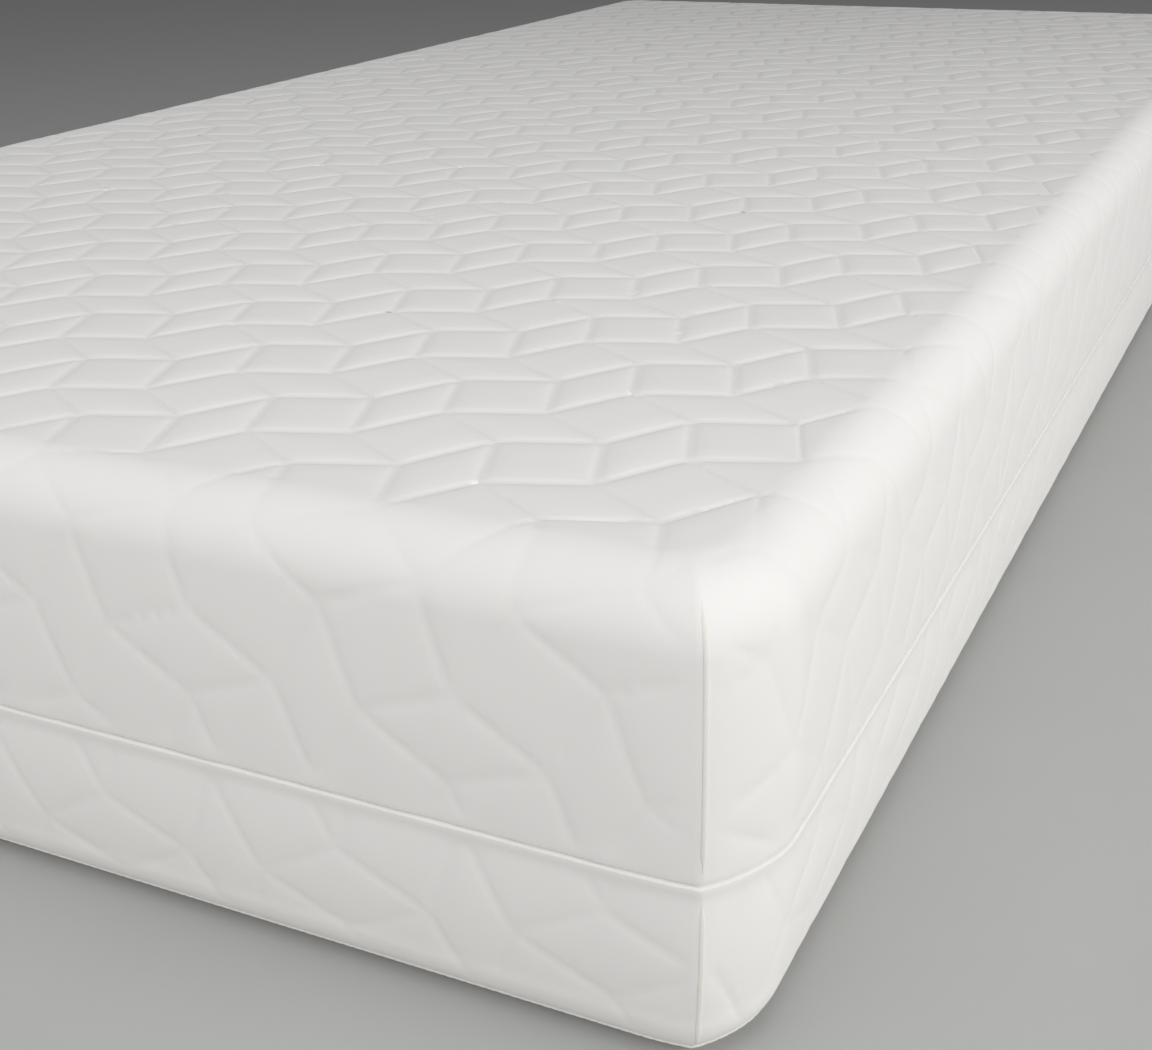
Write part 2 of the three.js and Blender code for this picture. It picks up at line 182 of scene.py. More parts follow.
def raised(plan: np.ndarray, height: float | np.ndarray) -> np.ndarray:
    """Plan places as points in space, all at one height or each at its own."""
    return np.concatenate([plan, np.broadcast_to(height, plan.shape[:-1])[..., None]], axis=-1)


def smoothstep(value: np.ndarray) -> np.ndarray:
    """Rises from 0 at 0 to 1 at 1 with flat ends: 3 t squared less 2 t cubed."""
    t = np.clip(value, 0, 1)
    return t * t * (3 - 2 * t)


def corner_fold(outward: np.ndarray, inset: np.ndarray) -> np.ndarray:
    """How far a corner's seam stands out from the round outline, as the end panels run on almost flat to it.

    From the end face to the seam it is share of the way out to the face's own plane, which lies radius x
    (1 / cos(angle) - 1) further out. Past the seam it falls away. It is full on the outside, and gone
    some way in.
    """
    share, falls_over, gone_in = 0.8, 40.0, 30 * MM
    from_end = np.degrees(np.arctan2(abs(outward[..., 0]), abs(outward[..., 1])))
    rising = 1 / np.cos(np.radians(np.minimum(from_end, SEAM_DEGREES))) - 1
    falling = (1 - np.clip((from_end - SEAM_DEGREES) / falls_over, 0, 1)) ** 2
    return share * CORNER_RADIUS * rising * falling * np.clip(1 - inset / gone_in, 0, 1)


def ripple(along: np.ndarray, pitches: tuple[float, ...], seed: int) -> np.ndarray:
    """A calm uneven wave: the mean of one sine for each pitch, each at its own random phase."""
    phases = np.random.default_rng(seed).uniform(0, TAU, len(pitches))
    return sum(np.sin(TAU * along / p + phase) for p, phase in zip(pitches, phases)) / len(pitches)


# ---- Plan of the mattress -----------------------------------------------------------------------


@dataclass
class PlanGrid:
    """Mesh lines over a rectangle with round corners, which a face and the walls round it share.

    Each line has a place on the inner rectangle between the corner centres, and an excess from -1 to 1 that
    says how far it lies out in a corner block. A corner block is bent into a quarter disc.
    """

    half_width: float
    half_length: float
    corner: float
    step: float
    corner_cells: int = 18
    cuts: tuple[tuple[float, ...], tuple[float, ...]] = ((), ())
    place_x: np.ndarray = field(init=False)
    excess_x: np.ndarray = field(init=False)
    place_y: np.ndarray = field(init=False)
    excess_y: np.ndarray = field(init=False)

    def __post_init__(self) -> None:
        """Works out both sets of lines, each with a number of cells that can be halved twice."""
        self.place_x, self.excess_x = self._lines(self.half_width - self.corner, self.cuts[0])
        self.place_y, self.excess_y = self._lines(self.half_length - self.corner, self.cuts[1])

    def _lines(self, reach: float, cuts: tuple[float, ...]) -> tuple[np.ndarray, np.ndarray]:
        """Lines between two corner centres, with any extra ones, and the corner blocks' lines beyond."""
        cells = 4 * max(1, round(2 * reach / self.step / 4))
        out = np.arange(1, self.corner_cells + 1) / self.corner_cells
        straight = np.linspace(-reach, reach, cells + 1)
        if cuts:
            far = abs(straight[:, None] - np.array(cuts)).min(axis=1) > 2 * MM
            straight = np.sort(np.concatenate([straight[far], cuts]))
        place = np.concatenate([np.full(len(out), -reach), straight, np.full(len(out), reach)])
        excess = np.concatenate([-out[::-1], np.zeros(len(straight)), out])
        return place, excess

    def coarser(self, factor: int) -> "PlanGrid":
        """The same plan with only every so many lines."""
        other = PlanGrid(self.half_width, self.half_length, self.corner, self.step, self.corner_cells)
        other.place_x, other.excess_x = self.place_x[::factor], self.excess_x[::factor]
        other.place_y, other.excess_y = self.place_y[::factor], self.excess_y[::factor]
        return other

    def _spread(self) -> tuple[np.ndarray, np.ndarray]:
        """Each grid point's corner centre, and its offset from it as a share of the corner radius."""
        ex, ey = np.meshgrid(self.excess_x, self.excess_y)
        px, py = np.meshgrid(self.place_x, self.place_y)
        big, small = np.maximum(abs(ex), abs(ey)), np.minimum(abs(ex), abs(ey))
        angle = np.pi / 4 * small / np.where(big > 0, big, 1)
        major, minor = big * np.cos(angle), big * np.sin(angle)
        wide = abs(ex) >= abs(ey)
        offset = np.stack([np.sign(ex) * np.where(wide, major, minor),
                           np.sign(ey) * np.where(wide, minor, major)], axis=-1)
        return np.stack([px, py], axis=-1), offset

    def face(self, radius: float) -> np.ndarray:
        """Plan places of the face's points, where its corners have that radius."""
        centre, offset = self._spread()
        return centre + radius * offset

    def loop(self, grid: np.ndarray) -> np.ndarray:
        """The border of a grid as one closed row, from the low corner and round to the left."""
        return np.concatenate([grid[0, :-1], grid[:-1, -1], grid[-1, :0:-1], grid[:0:-1, 0]])

    def stations(self) -> tuple[np.ndarray, np.ndarray]:
        """The corner centre and the outward unit direction of each station round the border."""
        centre, offset = self._spread()
        return self.loop(centre), self.loop(offset)

    def path_length(self, inset: float) -> float:
        """The way round at a distance inside the outline: four straights and a full turn."""
        straight = 4 * (self.half_width + self.half_length - 2 * self.corner)
        return straight + TAU * (self.corner - inset)

    def path(self, inset: float, along: np.ndarray) -> tuple[np.ndarray, np.ndarray]:
        """Places and outward directions at lengths along the way round, from the low left corner's end."""
        rx, ry, r = self.half_width - self.corner, self.half_length - self.corner, self.corner - inset
        arc = r * np.pi / 2
        legs = np.cumsum([0, 2 * rx, arc, 2 * ry, arc, 2 * rx, arc, 2 * ry, arc])
        corners = np.array([[-rx, -ry], [rx, -ry], [rx, ry], [-rx, ry]])
        starts = np.stack([corners, np.roll(corners, -1, axis=0)], axis=1).reshape(8, 2)
        leg = np.clip(np.searchsorted(legs, along, side="right") - 1, 0, 7)
        inside = along - legs[leg]
        curved = leg % 2 == 1
        turn = (leg // 2) * np.pi / 2 - np.pi / 2 + np.where(curved, inside / r, 0)
        outward = np.stack([np.cos(turn), np.sin(turn)], axis=-1)
        heading = np.stack([-np.sin(turn), np.cos(turn)], axis=-1)
        run = np.where(curved, 0, inside)[:, None] * heading
        return starts[leg] + run + r * outward, outward


@dataclass
class Skirting:
    """Where the cloth of each skirt lies flat, and how far each station is from a corner seam."""

    plan: PlanGrid
    seam_angle: float = math.radians(SEAM_DEGREES)
    centre: np.ndarray = field(init=False)
    outward: np.ndarray = field(init=False)
    facing: np.ndarray = field(init=False)
    along: np.ndarray = field(init=False)
    seam_distance: np.ndarray = field(init=False)

    def __post_init__(self) -> None:
        """Gives each station the skirt that it belongs to.

        A corner seam lies seam_angle round from the foot or head face, so stations up to it belong to that
        face and the rest to the long side. along is the cloth's own length round the corner: radius times
        angle.
        """
        self.centre, self.outward = self.plan.stations()
        from_end = np.arctan2(abs(self.outward[:, 0]), abs(self.outward[:, 1]))
        end_face = from_end <= self.seam_angle + 1e-6
        sign = np.sign(self.outward)
        self.facing = np.where(end_face[:, None], sign * [0, 1], sign * [1, 0])
        turned = np.where(end_face, from_end, np.pi / 2 - from_end)
        tangent = np.stack([-self.facing[:, 1], self.facing[:, 0]], axis=-1)
        lean = np.sign((self.outward * tangent).sum(-1))
        base = (self.centre * tangent).sum(-1)
        self.along = base + lean * self.plan.corner * turned
        self.seam_distance = self.plan.corner * abs(from_end - self.seam_angle)
        self.seam_distance[(from_end == 0) | (from_end == np.pi / 2)] = 1.0

    def seams(self) -> dict[str, int]:
        """The station of each corner seam, by the name of its corner."""
        found = np.nonzero(self.seam_distance < 0.01 * MM)[0]
        names = {(-1, -1): "foot_left", (1, -1): "foot_right", (-1, 1): "head_left", (1, 1): "head_right"}
        return {names[tuple(np.sign(self.outward[i]).astype(int))]: int(i) for i in found}

    def between_skirts(self, station: int) -> float:
        """The plan angle of the middle of the strip between a seam's station and the next skirt."""
        ring = len(self.outward)
        beside = [(station + turn) % ring for turn in (-1, 1)]
        other = next(i for i in beside if np.any(self.facing[i] != self.facing[station]))
        middle = self.outward[station] + self.outward[other]
        return math.atan2(middle[1], middle[0])

    def tangent(self) -> np.ndarray:
        """The direction along each station's skirt, to the left seen from inside."""
        return np.stack([-self.facing[:, 1], self.facing[:, 0]], axis=-1)

    def outward_in_space(self) -> np.ndarray:
        """The outward direction at each station, with no rise."""
        return raised(self.outward, 0.0)

    def heading(self) -> np.ndarray:
        """The direction round the outline at each station."""
        return np.stack([-self.outward[:, 1], self.outward[:, 0]], axis=-1)

    def looseness(self) -> np.ndarray:
        """1 on the left side, where the slider runs between open hems, and 0 elsewhere."""
        return smoothstep(-self.outward[:, 0] * 1.6 - 0.6)


# ---- Quilting -----------------------------------------------------------------------------------


@dataclass(frozen=True)
class QuiltPattern:
    """A tiling of two squares and two rhombi, all with the same edge, creased along every edge.

    Two edge directions and the same two turned a quarter back make the four tiles of one cell.
    """

    edge: float = 0.0458
    first: float = 19.5
    second: float = 58.5
    turned: float = 0.0
    origin: tuple[float, float] = (0.1193, -0.7662)
    depth: float = 0.72 * MM
    width: float = 3.0 * MM
    swell: float = 0.62 * MM
    dome: float = 0.35 * MM

    def _edges(self) -> list[np.ndarray]:
        """The four edge vectors."""
        degrees = np.array([self.first, self.second, self.first - 90, self.second - 90])
        angles = np.radians(degrees + self.turned)
        return [self.edge * np.array([math.cos(a), math.sin(a)]) for a in angles]

    def relief(self, cloth: np.ndarray, step: float) -> tuple[np.ndarray, np.ndarray]:
        """The height of the quilting, and the small move that puts a nearby point on its crease.

        Args:
            cloth: places on the flat cloth, in metres, as a grid of mesh points.
            step: how far apart the mesh lines are; a point within half of it from a crease is moved onto it.
        Returns:
            The heights, and the moves on the flat cloth.
        """
        move = self._in_tiles(cloth, 2, lambda share, e1, e2: self._move(share, e1, e2, step))
        move = self._unfolded(cloth, move)
        height = self._in_tiles(cloth + move, 1, self._height)
        return height[..., 0], move

    def _in_tiles(self, cloth: np.ndarray, size: int, work: Callable) -> np.ndarray:
        """Works something out for each point from its place in its tile, where both edges run from 0 to 1."""
        flat = cloth.reshape(-1, 2) - self.origin
        d1, d2, d3, d4 = self._edges()
        cell = np.stack([d1 + d2, d3 + d4], axis=1)
        rest = flat - np.floor(flat @ np.linalg.inv(cell).T) @ cell.T
        tiles = [(0 * d1, d1, d3), (d1, d2, d3), (d3, d1, d4), (d1 + d3, d2, d4)]
        found = np.zeros((len(flat), size))
        for i in (-1, 0, 1):
            for j in (-1, 0, 1):
                for start, e1, e2 in tiles:
                    corner = cell @ np.array([i, j]) + start
                    share = (rest - corner) @ np.linalg.inv(np.stack([e1, e2]))
                    inside = np.all(abs(share - 0.5) <= 0.5 + 1e-6, axis=1)
                    if inside.any():
                        found[inside] = work(share[inside], e1, e2)
        return found.reshape(cloth.shape[:-1] + (size,))

    def _height(self, share: np.ndarray, e1: np.ndarray, e2: np.ndarray) -> np.ndarray:
        """The quilting's height inside one tile.

        With d the distance to an edge, a groove is sin(90 degrees x min(d / width, 1)), multiplied over both
        pairs of edges. The height is depth x (groove - 1) for the stitched line, plus swell x (groove - 1)
        for a wide soft shoulder of four widths, plus dome x (16 p (1 - p) q (1 - q)).
        """
        sine = abs(e1[0] * e2[1] - e1[1] * e2[0]) / self.edge**2
        line, shoulder, dome = 1.0, 1.0, self.dome
        for k in (0, 1):
            away = np.minimum(share[:, k], 1 - share[:, k]) * self.edge * sine
            line = line * np.sin(np.pi / 2 * np.minimum(away / self.width, 1))
            shoulder = shoulder * np.sin(np.pi / 2 * np.minimum(away / (4 * self.width), 1))
            dome = dome * 4 * share[:, k] * (1 - share[:, k])
        return (self.depth * (line - 1) + self.swell * (shoulder - 1) + dome)[:, None]

    def _move(self, share: np.ndarray, e1: np.ndarray, e2: np.ndarray, step: float) -> np.ndarray:
        """The small move that puts points on their creases, inside one tile.

        A point moves along whichever mesh line crosses the crease more squarely, to a whole number of steps
        from it, so that each mesh line that meets the crease gives it just one point and the rows beside it
        lie even. The move is full within 1.6 steps of the crease and gone by 3. The point nearest to a corner
        goes to it.
        """
        u1, u2 = e1 / self.edge, e2 / self.edge
        sine = abs(u1[0] * u2[1] - u1[1] * u2[0])
        flat = np.linalg.inv(np.stack([e1, e2]))
        moves, reaches, on = [], [], []
        for k, (own, other) in enumerate(((u1, u2), (u2, u1))):
            across = (own - (own @ other) * other) / sine
            axis = int(abs(across[1]) > abs(across[0]))
            gap = np.minimum(share[:, k], 1 - share[:, k]) * self.edge * sine
            reach = gap / abs(across[axis]) / step
            side = np.where(share[:, k] > 0.5, 1.0, -1.0) * np.sign(across[axis])
            shift = np.zeros((len(share), 2))
            shift[:, axis] = side * step * (reach - np.round(reach)) * (1 - smoothstep((reach - 1.6) / 1.4))
            stays = abs((share + shift @ flat)[:, 1 - k] - 0.5) <= 0.51
            moves.append(shift)
            reaches.append(reach)
            on.append((reach <= 0.5) & stays)
        to_corner = (np.round(share) - share) @ np.stack([e1, e2])
        at_corner = np.all(abs(to_corner) <= 0.5 * step, axis=1)
        held = on[0] | on[1]
        first = np.where(on[0] & on[1] | ~held, reaches[0] <= reaches[1], on[0])
        near, far = np.minimum(*reaches), np.maximum(*reaches)
        calm = np.where(near > 0.5, smoothstep(far - near), 0)
        move = np.where(first[:, None], moves[0], moves[1]) * np.where(held, 1, calm)[:, None]
        move[at_corner] = to_corner[at_corner]
        return move

    def _unfolded(self, cloth: np.ndarray, move: np.ndarray) -> np.ndarray:
        """Halves the moves, up to three times, at any mesh cell that they fold over however it is split."""
        before = corner_turns(cloth)
        for _ in range(3):
            ahead = corner_turns(cloth + move) * before > 0
            folded = ~(ahead[0] & ahead[2] | ahead[1] & ahead[3])
            touched = np.zeros(cloth.shape[:2], dtype=bool)
            for rows in (slice(None, -1), slice(1, None)):
                for columns in (slice(None, -1), slice(1, None)):
                    touched[rows, columns] |= folded
            move = np.where(touched[..., None], 0.5 * move, move)
        return move


@dataclass
class Section:
    """One upright section through a cover: inset from the outline, height, and outward direction, row by row.

    Rows go down the outside. Each entry may differ from station to station, as an array of rows x stations.
    """

    inset: np.ndarray
    height: np.ndarray

    def normals(self) -> tuple[np.ndarray, np.ndarray]:
        """The outward and upward parts of the surface's direction: the row-to-row slope turned a quarter."""
        run, rise = -np.gradient(self.inset, axis=0), np.gradient(self.height, axis=0)
        size = np.hypot(run, rise)
        return -rise / size, run / size

    def travelled(self) -> np.ndarray:
        """The length down the section from its first row."""
        steps = np.hypot(np.diff(self.inset, axis=0), np.diff(self.height, axis=0))
        return np.concatenate([np.zeros((1,) + steps.shape[1:]), np.cumsum(steps, axis=0)])


def quarter(start: float, end: float, rows: int) -> np.ndarray:
    """Angles from start to end in degrees, as radians, without the first one."""
    return np.radians(np.linspace(start, end, rows + 1)[1:])


# ---- Finishes -----------------------------------------------------------------------------------


class NodeSheet:
    """A material's node tree with short ways to add and join nodes."""

    def __init__(self, name: str) -> None:
        """Makes the material with its principled shader."""
        self.material = bpy.data.materials.new(name)
        self.material.use_nodes = True
        self.tree = self.material.node_tree
        self.shader = self.tree.nodes["Principled BSDF"]

    def add(self, kind: str, inputs: dict | None = None, **settings: object) -> bpy.types.Node:
        """Adds a node, sets its options, and sets or links its inputs by name or number."""
        node = self.tree.nodes.new("ShaderNode" + kind)
        for key, value in settings.items():
            setattr(node, key, value)
        for key, value in (inputs or {}).items():
            if isinstance(value, bpy.types.NodeSocket):
                self.tree.links.new(value, node.inputs[key])
            else:
                node.inputs[key].default_value = value
        return node

    def sum(self, kind: str, first: object, second: object = 0.0) -> bpy.types.NodeSocket:
        """The result of one sum of two numbers."""
        return self.add("Math", {0: first, 1: second}, operation=kind).outputs[0]

    def noise(self, where: object, scale: float, detail: float = 2.0) -> bpy.types.NodeSocket:
        """Smooth noise from 0 to 1 with that many lumps a metre."""
        return self.add("TexNoise", {"Vector": where, "Scale": scale, "Detail": detail}).outputs["Fac"]

    def blend(self, share: object, first: tuple, second: tuple) -> bpy.types.NodeSocket:
        """A colour between two."""
        node = self.add("Mix", {"Factor": share}, data_type="RGBA")
        node.inputs[6].default_value = (*first, 1)
        node.inputs[7].default_value = (*second, 1)
        return node.outputs[2]

    def bump(self, height: object, distance: float, under: object = None) -> bpy.types.NodeSocket:
        """A surface direction raised by a height in metres, on top of another one."""
        inputs = {"Height": height, "Distance": distance}
        if under is not None:
            inputs["Normal"] = under
        return self.add("Bump", inputs).outputs[0]


@dataclass(frozen=True)
class Finish:
    """A matt surface, which the other finishes build on."""

    name: str
    slot: str
    colour: tuple[float, float, float]
    shade: tuple[float, float, float]
    roughness: float = 0.9
    sheen: float = 0.0

    def start(self) -> NodeSheet:
        """A node sheet with the finish's constant values set on the shader."""
        sheet = NodeSheet(self.name)
        sheet.shader.inputs["Roughness"].default_value = self.roughness
        sheet.shader.inputs["Sheen Weight"].default_value = self.sheen
        sheet.shader.inputs["Sheen Roughness"].default_value = 0.5
        sheet.shader.inputs["Specular IOR Level"].default_value = 0.25
        return sheet

    def where(self, sheet: NodeSheet) -> bpy.types.NodeSocket:
        """The object's own coordinates, in metres."""
        return sheet.add("TexCoord").outputs["Object"]

    def material(self) -> bpy.types.Material:
        """The finished material."""
        sheet = self.start()
        mottle = sheet.noise(self.where(sheet), 9.0)
        sheet.tree.links.new(sheet.blend(mottle, self.colour, self.shade), sheet.shader.inputs["Base Color"])
        self.texture(sheet)
        return sheet.material

    def texture(self, sheet: NodeSheet) -> None:
        """Fine relief: none here."""


@dataclass(frozen=True)
class KnitFinish(Finish):
    """Jersey knit on the cloth's own coordinates: wales and courses of loops, with a soft raised nap."""

    wale: float = 1.3 * MM
    course: float = 1.0 * MM
    relief: float = 0.16 * MM
    fuzz: float = 0.8
    nap: float = 1.0 * MM

    def texture(self, sheet: NodeSheet) -> None:
        """Loop height |sin(u + slant)| x |sin(v)|, where the slant follows the course, with fuzz and nap."""
        cloth = sheet.add("UVMap", uv_map="cloth").outputs[0]
        parts = sheet.add("SeparateXYZ", {0: cloth})
        rows = sheet.sum("MULTIPLY", parts.outputs["Y"], math.pi / self.course)
        slant = sheet.sum("MULTIPLY", sheet.sum("SINE", rows), 0.7)
        columns = sheet.sum("ADD", sheet.sum("MULTIPLY", parts.outputs["X"], math.pi / self.wale), slant)
        loops = sheet.sum("MULTIPLY", sheet.sum("ABSOLUTE", sheet.sum("SINE", columns)),
                          sheet.sum("ABSOLUTE", sheet.sum("SINE", rows)))
        fuzz = sheet.sum("MULTIPLY", sheet.noise(cloth, 900.0, 3.0), self.fuzz)
        nap = sheet.noise(cloth, 320.0, 4.0)
        height = sheet.sum("ADD", loops, fuzz)
        low = sheet.bump(nap, self.nap)
        sheet.tree.links.new(sheet.bump(height, self.relief, low), sheet.shader.inputs["Normal"])


@dataclass(frozen=True)
class FoamFinish(Finish):
    """Open-cell foam: small round pores of uneven depth."""

    pore: float = 1.6 * MM
    relief: float = 0.5 * MM

    def texture(self, sheet: NodeSheet) -> None:
        """Pores are the distance to the nearest of scattered points."""
        where = self.where(sheet)
        cells = sheet.add("TexVoronoi", {"Vector": where, "Scale": 1 / self.pore}).outputs["Distance"]
        grain = sheet.sum("ADD", cells, sheet.sum("MULTIPLY", sheet.noise(where, 300.0), 0.8))
        sheet.tree.links.new(sheet.bump(grain, self.relief), sheet.shader.inputs["Normal"])


@dataclass(frozen=True)
class ThreadFinish(Finish):
    """Twisted sewing thread and woven tape: fine slanting ribs."""

    rib: float = 0.5 * MM
    relief: float = 0.02 * MM

    def texture(self, sheet: NodeSheet) -> None:
        """Ribs are a sine of the slanting sum of the three coordinates."""
        parts = sheet.add("SeparateXYZ", {0: self.where(sheet)})
        lean = sheet.sum("ADD", sheet.sum("ADD", parts.outputs["X"], parts.outputs["Y"]), parts.outputs["Z"])
        ribs = sheet.sum("SINE", sheet.sum("MULTIPLY", lean, TAU / self.rib))
        sheet.tree.links.new(sheet.bump(ribs, self.relief), sheet.shader.inputs["Normal"])


@dataclass(frozen=True)
class MetalFinish(Finish):
    """Plated die casting with fine scuffs."""

    def texture(self, sheet: NodeSheet) -> None:
        """Scuffs vary the roughness and lightly dent the surface."""
        sheet.shader.inputs["Metallic"].default_value = 1.0
        sheet.shader.inputs["Specular IOR Level"].default_value = 0.5
        scuffs = sheet.noise(self.where(sheet), 1400.0, 4.0)
        spread = sheet.sum("ADD", sheet.sum("MULTIPLY", scuffs, 0.25), self.roughness - 0.12)
        sheet.tree.links.new(spread, sheet.shader.inputs["Roughness"])
        sheet.tree.links.new(sheet.bump(scuffs, 0.02 * MM), sheet.shader.inputs["Normal"])


WHITE_KNIT = KnitFinish("quilted_knit", "quilted_knit", (0.84, 0.80, 0.73), (0.81, 0.77, 0.70), 0.92, 0.15)
SEAM_THREAD = ThreadFinish("seam_thread", "sewn_trim", (0.90, 0.88, 0.83), (0.88, 0.86, 0.81), 0.9, 0.15)
TAPE = ThreadFinish("zip_tape", "zip_tape", (0.74, 0.72, 0.68), (0.70, 0.68, 0.64), rib=0.8 * MM)
COIL = Finish("zip_coil", "zip_coil", (0.72, 0.70, 0.66), (0.68, 0.66, 0.62), 0.4)
PLATED = MetalFinish("zip_metal", "zip_metal", (0.56, 0.56, 0.57), (0.52, 0.52, 0.53), 0.32)
BARRIER = KnitFinish("barrier_knit", "barrier_knit", (0.80, 0.78, 0.73), (0.77, 0.75, 0.70), 0.95,
                     wale=2.2 * MM, course=1.8 * MM, relief=0.25 * MM)
VISCO = FoamFinish("memory_foam", "memory_foam", (0.78, 0.70, 0.48), (0.74, 0.66, 0.44), pore=1.2 * MM)
RESILIENT = FoamFinish("core_foam", "core_foam", (0.50, 0.63, 0.72), (0.46, 0.59, 0.68), pore=2.0 * MM)
FIRM = FoamFinish("firm_foam", "firm_foam", (0.40, 0.43, 0.47), (0.37, 0.40, 0.44), pore=1.8 * MM)
SATIN = ThreadFinish("label_satin", "label_satin", (0.86, 0.86, 0.84), (0.84, 0.84, 0.82), 0.5, rib=0.4 * MM)
FLOOR = Finish("floor", "", (0.50, 0.50, 0.49), (0.48, 0.48, 0.47), 0.8)


def dress(piece: bpy.types.Object, finish: Finish) -> None:
    """Gives a piece its finish."""
    made = bpy.data.materials.get(finish.name) or finish.material()
    piece.data.materials.clear()
    piece.data.materials.append(made)


def finished(piece: bpy.types.Object, finish: Finish, body: str, *nodes: str) -> bpy.types.Object:
    """Dresses a piece, and has it stand for its CAD nodes and ride on their body."""
    dress(piece, finish)
    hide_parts(*nodes)
    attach(piece, body)
    log.info("%s: %d faces", piece.name, len(piece.data.polygons))
    return piece


# ---- Cover --------------------------------------------------------------------------------------


@dataclass
class Cover:
    """What the upper and the lower cover share: the plan, the zip's height and how the cloth is quilted.

    taper is how far the border leans in towards the base. Along the slider's side the hems stand open: each
    is rounded over open_rise and lies open_gap from the zip's middle.
    """

    plan: PlanGrid
    skirting: Skirting
    height: float
    zip_height: float
    lower_inset: float
    cloth: float = 6 * MM
    top_radius: float = 30 * MM
    bottom_radius: float = 24 * MM
    taper: float = 3 * MM
    open_rise: float = 12 * MM
    open_gap: float = 2.0 * MM
    quilt: QuiltPattern = QuiltPattern()
    border_quilt: QuiltPattern = QuiltPattern(0.0455, turned=8.5, origin=(0.5317, -0.1561), depth=0.5 * MM,
                                              swell=0.4 * MM, dome=0.2 * MM)

    def carry(self, inset: np.ndarray, height: np.ndarray, stations: slice = slice(None)) -> np.ndarray:
        """Carries a section round the stations: centre + outward x (radius - inset), at its heights."""
        centre, outward = self.skirting.centre[stations], self.skirting.outward[stations]
        inset = np.broadcast_to(inset, (len(inset), len(centre)))
        reach = (self.plan.corner - inset + corner_fold(outward, inset))[..., None]
        return raised(centre + reach * outward, height)

    def quilted_wall(self, section: Section, relief: np.ndarray, down: np.ndarray,
                     along: np.ndarray) -> np.ndarray:
        """A wall whose points have moved down and along it onto their creases, then out by the relief."""
        out, up = (part[..., None] for part in section.normals())
        outward, heading = self.skirting.outward_in_space(), raised(self.skirting.heading(), 0.0)
        points = self.carry(section.inset, section.height) + relief[..., None] * (out * outward + up * UP)
        return points + down[..., None] * (up * outward - out * UP) + along[..., None] * heading

    def row(self, inset: float, height: float, spacing: int) -> np.ndarray:
        """One level row of points at every so many stations."""
        return self.carry(np.full((1, 1), inset), np.full((1, 1), height), slice(None, None, spacing))[0]

    def inner_skin(self, work: Patchwork, start: np.ndarray, rows: list[tuple[float, float]], edge: float,
                   level: float, turn: int) -> None:
        """The plain wall inside the cover and the flat skin across it, at a quarter of the lines.

        Args:
            work: the cover's mesh so far.
            start: the row of points that the wall goes on from.
            rows: the wall's insets and heights.
            edge: the inset of the flat skin's edge.
            level: the height of the flat skin.
            turn: 1 or -1, which way the rows run for their faces to point into the cover.
        """
        insets, heights = np.array(rows).T[:, :, None]
        wall = work.add(self.carry(insets, heights, slice(None, None, 4)))
        work.grid(np.concatenate([start[None], wall])[:, ::turn], wrap=True)
        coarse = self.plan.coarser(4)
        skin = work.add(raised(coarse.face(self.plan.corner - edge), level))
        work.grid(skin[::turn])
        work.grid(np.concatenate([wall[-1][None], coarse.loop(skin)[None]])[:, ::turn], wrap=True)

    def seam_dip(self, depth: float, width: float) -> np.ndarray:
        """How far the cloth is drawn in beside each corner seam: depth x exp(-(distance / width) squared)."""
        return depth * np.exp(-((self.skirting.seam_distance / width) ** 2))


